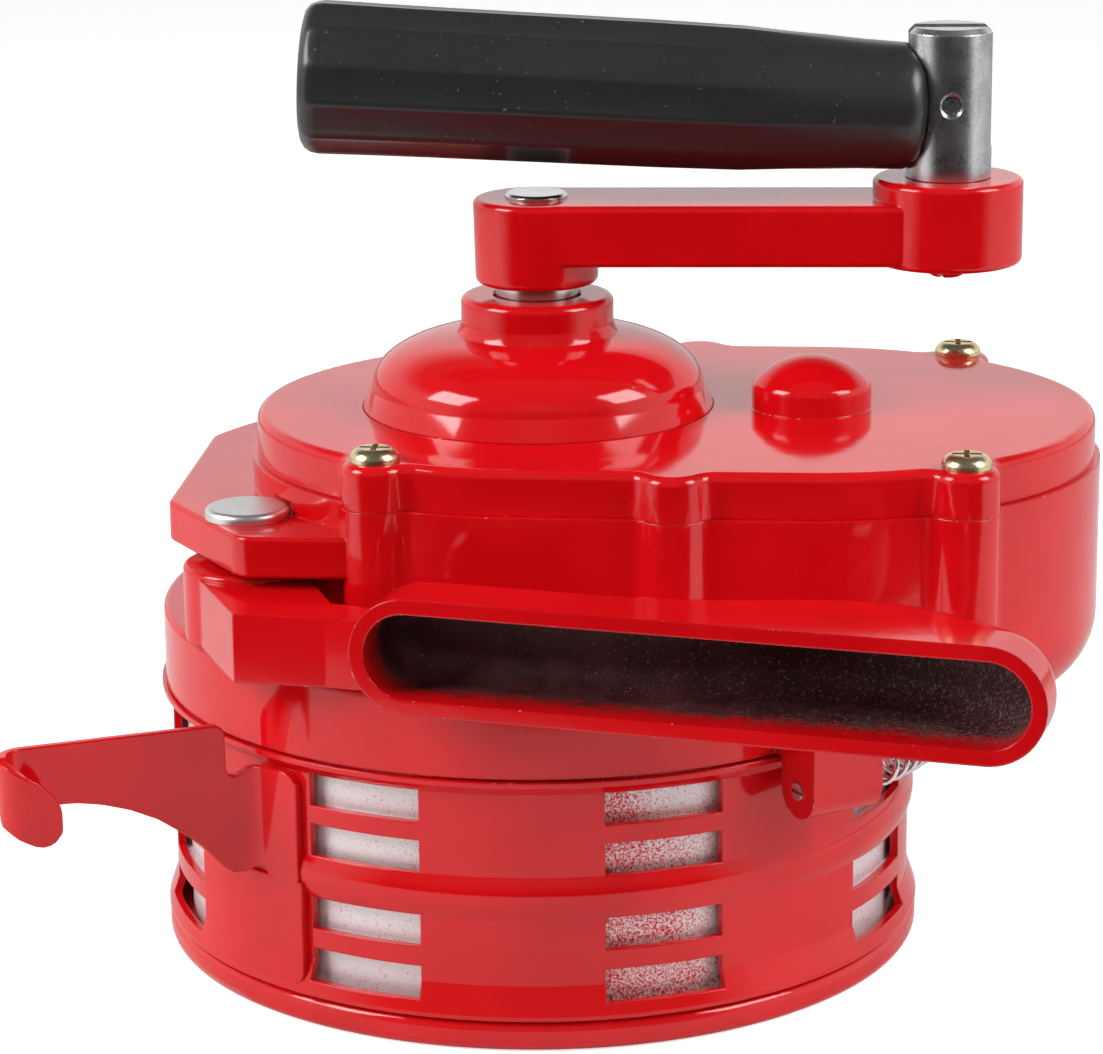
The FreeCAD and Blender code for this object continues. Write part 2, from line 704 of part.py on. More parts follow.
def main_housing():
    flange = rod(FLANGE_R, FLANGE_Z, FLANGE_TOP)
    flange = flange.makeFillet(FLANGE_EDGE, edges_where(flange, flat_at(FLANGE_TOP)))
    case = slab(lobes(CASE_R), FLANGE_Z, PARTING_Z)
    case = case.makeFillet(CASE_UNDER_R, edges_where(case, flat_at(FLANGE_Z)))
    bossed = bossed_slab(CASE_R, FLOOR_Z, PARTING_Z)
    body = flange.fuse(case).fuse(bossed).fuse(lug_plate()).fuse(spring_lug())
    for x, y in screw_places():
        foot = Part.makeSphere(BOSS_R, V(x, y, FLOOR_Z))
        body = body.fuse(foot)

    chamber = slab(lobes(CASE_R - CASE_WALL), FLANGE_Z + CASE_WALL, PARTING_Z + 1)
    chamber = chamber.makeFillet(CASE_UNDER_R - CASE_WALL, edges_where(chamber, flat_at(FLANGE_Z + CASE_WALL)))
    chamber = chamber.cut(rod(FLANGE_R, FLANGE_Z - 1, FLOOR_Z))
    chamber = chamber.cut(inner_bosses(FLANGE_Z, PARTING_Z + 1, CASE_R))
    chamber = chamber.cut(rod(ROTOR_BEARING_R + BEARING_BOSS_WALL, FLOOR_Z - 1, BEARING_BOSS_TOP))
    island = rod(POCKET_R + 2.6, FLANGE_TOP - 1, LUG_Z + 2.4, RIVET_X, RIVET_Y)
    chamber = chamber.cut(island)
    body = body.cut(chamber)

    sump = rod(SUMP_R, FLANGE_Z - 1, SUMP_Z)
    sump = sump.cut(rod(ROTOR_BEARING_R + BEARING_BOSS_WALL, FLANGE_Z - 1, SUMP_Z))
    sump = sump.cut(rod(BUSH_R + BEARING_BOSS_WALL, BUSH_LOW_Z - 1.5, SUMP_Z, CENTRES, 0))
    body = body.cut(sump)

    body = body.cut(rod(POCKET_R, FLANGE_TOP, LUG_Z, RIVET_X, RIVET_Y))
    body = body.cut(rod(RIVET_HEAD_R + FREE, LUG_TOP, LUG_TOP + RIVET_HEAD_H + FREE, RIVET_X, RIVET_Y))
    body = body.cut(rod(RIVET_R + SEAT, FLANGE_Z, LUG_TOP + 1, RIVET_X, RIVET_Y))
    body = body.cut(rod(RIVET_TAIL_R + FREE, FLANGE_Z - 1, SUMP_Z, RIVET_X, RIVET_Y))
    for low in (BEARING_LOW_Z, BEARING_BOSS_TOP - ROTOR_BEARING_W):
        body = body.cut(rod(ROTOR_BEARING_R + SEAT, low, low + ROTOR_BEARING_W))
    body = body.cut(rod(ROTOR_BEARING_R + SEAT, FLANGE_Z - 1, BEARING_LOW_Z))
    body = body.cut(rod(ROTOR_BEARING_R - 1.5, FLANGE_Z - 1, BEARING_BOSS_TOP + 1))
    body = body.cut(rod(BUSH_R + SEAT, BUSH_LOW_Z, FLOOR_Z + 1, CENTRES, 0))
    for x, y in screw_places():
        body = body.cut(rod(COVER_SCREW_R + SEAT, COVER_TOP - COVER_SCREW_L - 1, PARTING_Z + 1, x, y))
    for x, y in dowel_places():
        body = body.cut(rod(DOWEL_R + SEAT, PARTING_Z - DOWEL_L / 2 - 0.5, PARTING_Z + 1, x, y))
    for x, y in drum_screw_places():
        body = body.cut(rod(DRUM_SCREW_R + SEAT, FLANGE_Z - 1, FLANGE_Z + DRUM_SCREW_BITE + 0.5, x, y))
    along = V(*polar(1.0, SPRING_LUG_DEG), 0)
    start = spring_lug_face() - along
    body = body.cut(Part.makeCylinder(ANCHOR_R + SEAT, SPRING_LUG_L + 2, start, along))
    return one(body)


def dome():
    """The bearing dome and its neck, as a solid of revolution."""
    a = V(DOME_R, 0, COVER_TOP - 1)
    b = V(DOME_R, 0, COVER_TOP)
    c = V(DOME_TOP_R, 0, COVER_TOP + DOME_WALL_H)
    d = V(NECK_R + 1.5, 0, DOME_Z - 0.3)
    m = V((c.x + d.x) / 2 + 3.2, 0, (c.z + d.z) / 2 + 1.2)
    e = V(NECK_R, 0, DOME_Z)
    f = V(NECK_R, 0, NECK_TOP - NECK_EDGE)
    g = V(NECK_R - NECK_EDGE, 0, NECK_TOP)
    edge_mid = V(NECK_R - NECK_EDGE * 0.293, 0, NECK_TOP - NECK_EDGE * 0.293)
    h = V(0, 0, NECK_TOP)
    i = V(0, 0, COVER_TOP - 1)
    edges = [
        Part.makeLine(a, b), Part.makeLine(b, c), Part.Arc(c, m, d).toShape(), Part.makeLine(d, e),
        Part.makeLine(e, f), Part.Arc(f, edge_mid, g).toShape(), Part.makeLine(g, h), Part.makeLine(h, i),
        Part.makeLine(i, a),
    ]
    return Part.Face(Part.Wire(edges)).revolve(V(0, 0, 0), UP, 360)


def small_dome():
    """The blind dome over the countershaft: a short wall under a ball-shaped cap."""
    wall_top = COVER_TOP + SMALL_DOME_WALL_H
    top = COVER_TOP + SMALL_DOME_H
    rise = top - wall_top
    ball_r = (SMALL_DOME_R ** 2 + rise ** 2) / (2 * rise)
    ball = Part.makeSphere(ball_r, V(CENTRES, 0, top - ball_r))
    cap = rod(SMALL_DOME_R, COVER_TOP - 1, top, CENTRES, 0).common(ball)
    rim = edges_where(cap, flat_at(wall_top))
    return cap.makeFillet(SMALL_DOME_EDGE, rim)


def gear_case_cover():
    shell = bossed_slab(COVER_R, PARTING_Z, COVER_TOP)
    shell = shell.makeFillet(COVER_EDGE, edges_where(shell, flat_at(COVER_TOP)))
    body = shell.fuse(dome()).fuse(small_dome())
    hollow = slab(lobes(COVER_R - CASE_WALL), PARTING_Z - 1, CEILING_Z)
    hollow = hollow.cut(inner_bosses(PARTING_Z - 1, CEILING_Z, COVER_R))
    hollow = hollow.cut(rod(BUSH_R + BEARING_BOSS_WALL, BUSH_HIGH_Z - 1, CEILING_Z, CENTRES, 0))
    body = body.cut(hollow)
    body = body.cut(rod(CRANK_BEARING_R + SEAT, CEILING_Z - 1, CRANK_BEARING_TOP))
    body = body.cut(rod(COLLAR_R + FREE, CEILING_Z, NECK_TOP + 1))
    body = body.cut(rod(BUSH_R + SEAT, BUSH_HIGH_Z - 2, BUSH_HIGH_Z + BUSH_L, CENTRES, 0))
    body = body.cut(rod(COUNTER_END_R + FREE, BUSH_HIGH_Z, BUSH_HIGH_Z + BUSH_L + 1.2, CENTRES, 0))
    for x, y in screw_places():
        body = body.cut(rod(COVER_SCREW_R + RUN, PARTING_Z - 1, COVER_TOP + 1, x, y))
    for x, y in dowel_places():
        body = body.cut(rod(DOWEL_R + SEAT, PARTING_Z - 1, PARTING_Z + DOWEL_L / 2 + 0.5 - COVER_EDGE, x, y))
    return one(body)


def pan_screw(head_r, head_h, shank_r, shank_l, head_low):
    """Pan head screw on Z with its head upward and resting at one height."""
    a = V(0, 0, head_low)
    b = V(head_r, 0, head_low)
    c = V(head_r, 0, head_low + head_h * 0.35)
    m = V(head_r * 0.82, 0, head_low + head_h * 0.82)
    d = V(head_r * 0.45, 0, head_low + head_h)
    e = V(0, 0, head_low + head_h)
    edges = [Part.makeLine(a, b), Part.makeLine(b, c), Part.Arc(c, m, d).toShape(), Part.makeLine(d, e),
             Part.makeLine(e, a)]
    head = Part.Face(Part.Wire(edges)).revolve(V(0, 0, 0), UP, 360)
    return head.fuse(rod(shank_r, head_low - shank_l, head_low))


def cover_screws():
    screw = one(pan_screw(HEAD_R, HEAD_H, COVER_SCREW_R, COVER_SCREW_L, COVER_TOP))
    slot = block(-HEAD_R, HEAD_R, -0.55, 0.55, COVER_TOP + HEAD_H - 1.0, COVER_TOP + HEAD_H + 1)
    cross = slot.common(rod(HEAD_R * 0.62, COVER_TOP, COVER_TOP + HEAD_H + 1))
    screw = one(screw.cut(cross).cut(spun(cross, 90)))
    return Part.Compound([placed(screw, x, y) for x, y in screw_places()])


def dowel_pins():
    middle = PARTING_Z - COVER_EDGE / 2
    return Part.Compound([rod(DOWEL_R, middle - DOWEL_L / 2 + 1, middle + DOWEL_L / 2 - 1, x, y)
                          for x, y in dowel_places()])


# ---- bearings ----
def ball_bearing(bore, outer, width, low):
    """Shielded ball bearing: two rings with a sunk shield between them."""
    inner_ring = bore + (outer - bore) * 0.25
    outer_ring = outer - (outer - bore) * 0.2
    top = low + width
    sunk = 0.5
    return turned([(bore, low), (inner_ring, low), (inner_ring, low + sunk), (outer_ring, low + sunk),
                   (outer_ring, low), (outer, low), (outer, top), (outer_ring, top), (outer_ring, top - sunk),
                   (inner_ring, top - sunk), (inner_ring, top), (bore, top)])


def crank_bearings():
    lows = (CRANK_BEARING_LOW, CRANK_BEARING_TOP - CRANK_BEARING_W)
    return Part.Compound([ball_bearing(CRANK_SHAFT_R + RUN, CRANK_BEARING_R, CRANK_BEARING_W, z) for z in lows])


def bearing_spacer():
    low = CRANK_BEARING_LOW + CRANK_BEARING_W
    return tube(CRANK_BEARING_R, CRANK_BEARING_R - 2.0, low, low + BEARING_SPACER)


def rotor_bearings():
    lows = (BEARING_LOW_Z, BEARING_BOSS_TOP - ROTOR_BEARING_W)
    return Part.Compound([ball_bearing(ROTOR_SHAFT_R + RUN, ROTOR_BEARING_R, ROTOR_BEARING_W, z) for z in lows])


def countershaft_bushes():
    return Part.Compound([tube(BUSH_R, COUNTER_END_R + RUN, z, z + BUSH_L, CENTRES, 0)
                          for z in (BUSH_LOW_Z, BUSH_HIGH_Z)])


# ---- gears ----
def involute(angle):
    return math.tan(angle) - angle


def toothed(teeth, shift, low, high, x, first_deg):
    """Involute spur gear blank with one tooth centred at a given angle."""
    pitch_r = MODULE * teeth / 2
    base_r = pitch_r * math.cos(PRESSURE)
    tip_r = pitch_r + MODULE * (1 + shift)
    root_r = pitch_r - MODULE * (1.25 - shift)
    half_pitch = (math.pi / 2 + 2 * shift * math.tan(PRESSURE)) / teeth - BACKLASH / (2 * pitch_r)
    start_r = max(base_r, root_r)
    pitch_angle = 2 * math.pi / teeth

    def half_angle(radius):
        return half_pitch + involute(PRESSURE) - involute(math.acos(min(1.0, base_r / radius)))

    def point(radius, angle):
        return V(x + radius * math.cos(angle), radius * math.sin(angle), low)

    edges = []
    middle_r = (start_r + tip_r) / 2
    for k in range(teeth):
        centre = math.radians(first_deg) + k * pitch_angle
        right = [point(r, centre - half_angle(r)) for r in (start_r, middle_r, tip_r)]
        left = [point(r, centre + half_angle(r)) for r in (tip_r, middle_r, start_r)]
        root_right = point(root_r, centre - half_angle(start_r))
        root_left = point(root_r, centre + half_angle(start_r))
        next_right = point(root_r, centre + pitch_angle - half_angle(start_r))
        if start_r > root_r:
            edges.append(Part.makeLine(root_right, right[0]))
        edges.append(Part.Arc(*right).toShape())
        edges.append(Part.Arc(right[2], point(tip_r, centre), left[0]).toShape())
        edges.append(Part.Arc(*left).toShape())
        if start_r > root_r:
            edges.append(Part.makeLine(left[2], root_left))
        edges.append(Part.Arc(root_left, point(root_r, centre + pitch_angle / 2), next_right).toShape())
    return Part.Face(Part.Wire(edges)).extrude(V(0, 0, high - low))


def large_gear(low, x, bore, hub_low, hub_high):
    """Sixty-tooth gear with a thinned web and a long hub."""
    top = low + GEAR_W
    gear = toothed(GEAR_TEETH, -SHIFT, low, top, x, 0.0)
    rim_r = GEAR_TIP_R - 4 * MODULE
    gear = gear.cut(tube(rim_r, GEAR_HUB_R + 3, low - 1, low + WEB_CUT, x, 0))
    gear = gear.cut(tube(rim_r, GEAR_HUB_R + 3, top - WEB_CUT, top + 1, x, 0))
    gear = gear.fuse(rod(GEAR_HUB_R, hub_low, hub_high, x, 0))
    return one(gear.cut(rod(bore + SEAT, hub_low - 1, hub_high + 1, x, 0)))


def crank_gear():
    return large_gear(CRANK_GEAR_Z, 0, CRANK_SHAFT_R, CRANK_GEAR_Z, CRANK_BEARING_LOW - PLAY)


def counter_gear():
    return large_gear(COUNTER_GEAR_Z, CENTRES, COUNTER_SEAT_R, FLOOR_Z + 1.8, COUNTER_PINION_Z)


def counter_pinion():
    pinion = toothed(PINION_TEETH, SHIFT, COUNTER_PINION_Z, COUNTER_PINION_TOP, CENTRES, 180 / PINION_TEETH)
    return one(pinion.cut(rod(COUNTER_SEAT_R + SEAT, COUNTER_PINION_Z - 1, COUNTER_PINION_TOP + 1, CENTRES, 0)))


def rotor_pinion():
    pinion = toothed(PINION_TEETH, SHIFT, ROTOR_PINION_Z, ROTOR_PINION_TOP, 0, 180 / PINION_TEETH)
    return one(pinion.cut(rod(ROTOR_END_R + SEAT, ROTOR_PINION_Z - 1, ROTOR_PINION_TOP + 1)))


def countershaft():
    low = BUSH_LOW_Z + 0.3
    high = BUSH_HIGH_Z + BUSH_L + 0.8
    ends = rod(COUNTER_END_R, low, high, CENTRES, 0)
    seat = rod(COUNTER_SEAT_R, FLOOR_Z + 0.5 + PLAY, BUSH_HIGH_Z - PLAY, CENTRES, 0)
    return one(ends.fuse(seat))


def crank_shaft():
    shaft = rod(CRANK_SHAFT_R, CRANK_SHAFT_LOW, HUB_Z)
    shaft = shaft.fuse(rod(COLLAR_R, CRANK_BEARING_TOP + PLAY, HUB_Z))
    end = rod(SHAFT_TOP_R, HUB_Z, ARM_TOP + SHAFT_PROUD)
    end = end.makeChamfer(0.5, edges_where(end, flat_at(ARM_TOP + SHAFT_PROUD)))
    groove = tube(CRANK_SHAFT_R + 1, CRANK_SHAFT_R - 0.7, RING_Z - 0.05, RING_Z + RING_T + 0.05)
    return one(shaft.fuse(end).cut(groove))


def crank_retaining_ring():
    ring = tube(CRANK_SHAFT_R + 2.4, CRANK_SHAFT_R - 0.7 + SEAT, RING_Z, RING_Z + RING_T)
    gap = block(0, CRANK_SHAFT_R + 4, -2.5, 2.5, RING_Z - 1, RING_Z + RING_T + 1)
    return one(ring.cut(gap))


def rotor_shaft():
    low = rotor_hub_low() - NUT_H - 2
    shaft = rod(ROTOR_SHAFT_R, rotor_hub_low() + 4, ROTOR_PINION_Z)
    thread = rod(ROTOR_END_R, low, rotor_hub_low() + 4)
    top = rod(ROTOR_END_R, ROTOR_PINION_Z, ROTOR_PINION_TOP + 0.3)
    return one(shaft.fuse(thread).fuse(top))


# ---- rotor ----
def rotor_hub_low():
    return BASE_H + ROTOR_LIFT + ROTOR_END_L


def rotor():
    low = BASE_H + ROTOR_LIFT
    top = FLANGE_Z - ROTOR_DROP
    disc_low = top - ROTOR_DISC
    wheel = tube(ROTOR_R, ROTOR_R - ROTOR_WALL, low, top)
    for k in range(GROUPS):
        centre = WINDOW_FIRST + k * 360 / GROUPS
        for row_low, row_high in port_rows():
            port = sector(ROTOR_R + 1, ROTOR_R - ROTOR_WALL - 1, max(row_low, low + 2.5),
                          min(row_high, disc_low - 1.0), centre - WINDOW_DEG / 2, centre + WINDOW_DEG / 2)
            wheel = wheel.cut(port)
    wheel = wheel.fuse(rod(ROTOR_R - ROTOR_WALL + 1, disc_low, top))
    wheel = wheel.fuse(rod(ROTOR_HUB_R, rotor_hub_low(), top))
    wheel = wheel.fuse(rod(ROTOR_SHAFT_R + 2.5, top, BEARING_LOW_Z - PLAY))
    vane = block(ROTOR_HUB_R - 2, ROTOR_R - ROTOR_WALL + 1, -VANE_T / 2, VANE_T / 2, low + 2.5, disc_low)
    taper = upright([(0, low), (ROTOR_R * 0.62, low), (ROTOR_HUB_R - 3, rotor_hub_low()), (0, rotor_hub_low())],
                    -VANE_T, VANE_T)
    vane = vane.cut(taper)
    for k in range(GROUPS):
        wheel = wheel.fuse(spun(vane, WINDOW_FIRST + (k + 0.5) * 360 / GROUPS))
    wheel = wheel.cut(rod(ROTOR_END_R + SEAT, low, top + 9))
    wheel = wheel.cut(rod(ROTOR_SHAFT_R + SEAT, rotor_hub_low() + 4, top + 9))
    return one(wheel)


def rotor_nut():
    high = rotor_hub_low()
    radius = NUT_FLATS / math.sqrt(3)
    corners = [polar(radius, 60 * k) for k in range(6)]
    return one(prism(corners, high - NUT_H, high).cut(rod(ROTOR_END_R + SEAT, high - NUT_H - 1, high + 1)))


# ---- rivet and carry handle ----
def handle_rivet():
    head = rod(RIVET_HEAD_R, LUG_TOP, LUG_TOP + RIVET_HEAD_H, RIVET_X, RIVET_Y)
    head = head.makeFillet(1.2, edges_where(head, flat_at(LUG_TOP + RIVET_HEAD_H)))
    shank = rod(RIVET_R, SUMP_Z, LUG_TOP, RIVET_X, RIVET_Y)
    tail = rod(RIVET_TAIL_R, SUMP_Z - RIVET_TAIL_H, SUMP_Z, RIVET_X, RIVET_Y)
    return one(head.fuse(shank).fuse(tail))


def tray_solid(inset):
    """The handle's channel as a solid, at a depth under its skin, in the handle's own frame."""
    low = HANDLE_Z + inset
    high = HANDLE_Z + TRAY_H - inset
    middle = (low + high) / 2
    radius = (high - low) / 2
    left = TRAY_START + TRAY_H / 2
    right = TRAY_END - TRAY_H / 2
    a = V(left, 0, low)
    b = V(right, 0, low)
    c = V(right + radius, 0, middle)
    d = V(right, 0, high)
    e = V(left, 0, high)
    f = V(left - radius, 0, middle)
    edges = [Part.makeLine(a, b), Part.Arc(b, c, d).toShape(), Part.makeLine(d, e), Part.Arc(e, f, a).toShape()]
    stadium = placed(Part.Face(Part.Wire(edges)), 0, -TRAY_FRONT)
    elevation = stadium.extrude(V(0, TRAY_DEEP + 10, 0))

    shallow = TRAY_SHALLOW - TRAY_FRONT - inset
    deep = TRAY_DEEP - TRAY_FRONT - inset
    back = [V(TRAY_START - 1, shallow - 1, low - 1), V(54, shallow, low - 1), V(99, shallow + 2.6, low - 1),
            V(118, deep, low - 1), V(136, deep - 0.6, low - 1), V(153, shallow - 1.5, low - 1),
            V(TRAY_END + 1, shallow - 8, low - 1)]
    curve = Part.BSplineCurve()
    curve.interpolate(back)
    front_left = V(TRAY_START - 1, -TRAY_FRONT - 2, low - 1)
    front_right = V(TRAY_END + 1, -TRAY_FRONT - 2, low - 1)
    wire = Part.Wire([curve.toShape(), Part.makeLine(back[-1], front_right), Part.makeLine(front_right, front_left),
                      Part.makeLine(front_left, back[0])])
    plan = Part.Face(wire).extrude(V(0, 0, TRAY_H + 4))
    solid = elevation.common(plan)
    round_r = TRAY_BACK_R - inset
    rear = [e for e in solid.Edges if e.BoundBox.YMin > -TRAY_FRONT + 2 and e.BoundBox.YLength > 0.01
            and e.BoundBox.XLength > 4]
    return solid.makeFillet(round_r, rear)


def carry_handle():
    knuckle = rod(KNUCKLE_R, HANDLE_Z, HANDLE_Z + KNUCKLE_H)
    knuckle = knuckle.makeFillet(1.0, edges_where(knuckle, flat_at(HANDLE_Z + KNUCKLE_H)))
    neck = prism([(-12.3, -2.4), (9.0, -31.2), (26.4, -29.4), (44.0, -29.4), (44.0, -23.4), (38.0, -21.4),
                  (24.0, -19.4), (12.3, -2.0), (6.0, 6.0), (-6.0, 6.0)],
                 HANDLE_Z, HANDLE_Z + KNUCKLE_H - NECK_DROP)
    body = knuckle.fuse(neck).fuse(tray_solid(0.0))
    body = body.cut(placed(tray_solid(TRAY_WALL), 0, -0.01))
    body = body.cut(rod(RIVET_R + RUN, HANDLE_Z - 1, HANDLE_Z + KNUCKLE_H + 1))
    body = one(body)
    body.rotate(V(0, 0, 0), UP, HANDLE_DEG)
    body.translate(V(RIVET_X, RIVET_Y, 0))
    return body


# ---- crank ----
def crank_arm():
    hub = Part.makeCone(HUB_LOW_R, HUB_TOP_R, HUB_H, V(0, 0, HUB_Z))
    hub = hub.makeFillet(ARM_EDGE, edges_where(hub, lambda e: flat_at(HUB_Z)(e) or flat_at(ARM_TOP)(e)))
    bar = block(0, ARM_REACH, -ARM_W / 2, ARM_W / 2, ARM_Z, ARM_TOP)
    along_x = [e for e in bar.Edges if e.BoundBox.XLength > ARM_REACH - 1]
    bar = bar.makeFillet(ARM_EDGE, along_x)
    boss = rod(END_BOSS_R, END_BOSS_Z, POST_Z, ARM_REACH, 0)
    boss = boss.makeFillet(ARM_EDGE, edges_where(boss, lambda e: flat_at(END_BOSS_Z)(e) or flat_at(POST_Z)(e)))
    arm = hub.fuse(bar).fuse(boss)
    arm = arm.cut(rod(SHAFT_TOP_R + SEAT, HUB_Z - 1, ARM_TOP + 1))
    arm = arm.cut(rod(POST_SPIGOT_R + RUN, POST_Z - POST_SPIGOT_L - PLAY, POST_Z + 1, ARM_REACH, 0))
    arm = arm.cut(rod(POST_SCREW_R + RUN, END_BOSS_Z - 1, POST_Z, ARM_REACH, 0))
    return spun(one(arm), ARM_DEG)


# ---- folding grip, laid out over the crank arm and then turned with it ----
def on_arm(shape):
    return spun(shape, ARM_DEG)


def grip_post():
    body = rod(POST_R, POST_Z + PLAY / 2, POST_Z + POST_H, ARM_REACH, 0)
    body = body.makeChamfer(1.0, edges_where(body, flat_at(POST_Z + POST_H)))
    body = body.fuse(rod(POST_SPIGOT_R, POST_Z - POST_SPIGOT_L, POST_Z + 1, ARM_REACH, 0))
    slot = block(ARM_REACH - 20, ARM_REACH + 20, -POST_SLOT / 2, POST_SLOT / 2, PIN_Z - POST_SLOT_BELOW,
                 POST_Z + POST_H + 1)
    body = body.cut(slot)
    body = body.cut(rod(POST_SCREW_R + SEAT, POST_Z - POST_SPIGOT_L - 1, post_screw_top() + 0.3, ARM_REACH, 0))
    hole = Part.makeCylinder(PIN_R + SEAT, 4 * POST_R, V(ARM_REACH, -2 * POST_R, PIN_Z), V(0, 1, 0))
    sink = Part.makeCone(PIN_R + 1.0, PIN_R, 1.0, V(ARM_REACH, -POST_R, PIN_Z), V(0, 1, 0))
    sink_back = Part.makeCone(PIN_R + 1.0, PIN_R, 1.0, V(ARM_REACH, POST_R, PIN_Z), V(0, -1, 0))
    return on_arm(one(body.cut(hole).cut(sink).cut(sink_back)))


def post_screw_top():
    return END_BOSS_Z + POST_SCREW_L


def post_screw():
    screw = pan_screw(POST_SCREW_HEAD_R, POST_SCREW_HEAD_H, POST_SCREW_R, POST_SCREW_L, 0)
    screw.rotate(V(0, 0, 0), V(1, 0, 0), 180)
    screw = placed(screw, ARM_REACH, 0, END_BOSS_Z - PLAY / 2)
    low = END_BOSS_Z - POST_SCREW_HEAD_H - PLAY / 2
    slot = block(ARM_REACH - 6, ARM_REACH + 6, -0.6, 0.6, low - 1, low + 1.1)
    slot.rotate(V(ARM_REACH, 0, 0), UP, 65)
    return on_arm(one(screw.cut(slot)))


def fold_pin():
    length = 2 * (POST_R - 0.6)
    pin = Part.makeCylinder(PIN_R, length, V(ARM_REACH, -length / 2, PIN_Z), V(0, 1, 0))
    return on_arm(pin)


def tilted(shape):
    """Turn a piece laid along -X from the fold pin to the grip's rest tilt."""
    copy = shape.copy()
    copy.rotate(V(ARM_REACH, 0, PIN_Z), V(0, 1, 0), GRIP_TILT)
    return copy


def tongue_flat():
    """Length of the tongue's flat from the fold pin: it stays in the slot past the post's top corner."""
    return math.hypot(POST_R, POST_H - PIN_HEIGHT) + FREE


def grip_tongue():
    half = POST_SLOT / 2 - PLAY
    eye = Part.makeCylinder(TONGUE_EYE_R, 2 * half, V(ARM_REACH, -half, PIN_Z), V(0, 1, 0))
    flat = block(ARM_REACH - tongue_flat() - ROD_R / 2, ARM_REACH, -half, half, PIN_Z - TONGUE_EYE_R,
                 PIN_Z + TONGUE_EYE_R - 2)
    stem = Part.makeCylinder(ROD_R, ROD_L, V(ARM_REACH - tongue_flat(), 0, PIN_Z - GRIP_DROP), V(-1, 0, 0))
    tongue = eye.fuse(flat).fuse(stem)
    tongue = tongue.cut(Part.makeCylinder(PIN_R + RUN, 20, V(ARM_REACH, -10, PIN_Z), V(0, 1, 0)))
    return on_arm(tilted(one(tongue)))


def grip():
    def at(distance, radius):
        return V(ARM_REACH - distance, 0, PIN_Z - GRIP_DROP + radius)

    nose = Part.Arc(at(GRIP_NOSE, 7.1), at(GRIP_NOSE + 1.1, 10.4), at(8.3, GRIP_NOSE_R)).toShape()
    growth = GRIP_END_R - GRIP_NOSE_R
    swell = Part.BSplineCurve()
    swell.interpolate([at(8.3, GRIP_NOSE_R)] + [at(GRIP_L * along, GRIP_NOSE_R + growth * grown)
                                                for along, grown in GRIP_SWELL] + [at(GRIP_L - 3.5, GRIP_END_R)])
    end = Part.Arc(at(GRIP_L - 3.5, GRIP_END_R), at(GRIP_L - 0.9, GRIP_END_R - 2.6), at(GRIP_L, GRIP_END_R - 7))
    edges = [
        Part.makeLine(at(GRIP_NOSE, 0), at(GRIP_NOSE, 7.1)), nose, swell.toShape(), end.toShape(),
        Part.makeLine(at(GRIP_L, GRIP_END_R - 7), at(GRIP_L, 0)), Part.makeLine(at(GRIP_L, 0), at(GRIP_NOSE, 0)),
    ]
    body = Part.Face(Part.Wire(edges)).revolve(at(0, 0), V(1, 0, 0), 360)
    bore = Part.makeCylinder(ROD_R + RUN, GRIP_BORE_L, at(0, 0), V(-1, 0, 0))
    half = POST_SLOT / 2
    mouth = block(ARM_REACH - tongue_flat() - ROD_R / 2 - FREE, ARM_REACH, -half, half,
                  PIN_Z - TONGUE_EYE_R - FREE, PIN_Z + TONGUE_EYE_R + FREE)
    body = tilted(body.cut(bore).cut(mouth))
    saddle = rod(POST_R + FREE, PIN_Z - 30, PIN_Z + 30, ARM_REACH, 0)
    return on_arm(one(body.cut(saddle)))


NODES = {
    "base_plate": base_plate,
    "drum_screws": drum_screws,
    "stator": stator,
    "shutter_band": shutter_band,
    "trigger_lever": trigger_lever,
    "spring_bracket": spring_bracket,
    "return_spring": return_spring,
    "spring_anchor_screw": spring_anchor_screw,
    "main_housing": main_housing,
    "gear_case_cover": gear_case_cover,
    "cover_screws": cover_screws,
    "dowel_pins": dowel_pins,
    "crank_bearings": crank_bearings,
    "bearing_spacer": bearing_spacer,
    "rotor_bearings": rotor_bearings,
    "countershaft_bushes": countershaft_bushes,
    "handle_rivet": handle_rivet,
    "carry_handle": carry_handle,
    "crank_shaft": crank_shaft,
    "crank_gear": crank_gear,
    "crank_retaining_ring": crank_retaining_ring,
    "crank_arm": crank_arm,
    "countershaft": countershaft,
    "counter_gear": counter_gear,
    "counter_pinion": counter_pinion,
    "rotor_shaft": rotor_shaft,
    "rotor_pinion": rotor_pinion,
    "rotor": rotor,
    "rotor_nut": rotor_nut,
    "grip_post": grip_post,
    "post_screw": post_screw,
    "fold_pin": fold_pin,
    "grip_tongue": grip_tongue,
    "grip": grip,
}

os.makedirs("parts", exist_ok=True)
for name, make in NODES.items():
    make().exportStep("parts/" + name + ".step")
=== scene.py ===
"""Looks of the hand crank siren: enamel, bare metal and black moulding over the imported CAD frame. Metres."""
import bmesh
import bpy
import json
import math
from mathutils import Matrix, Vector


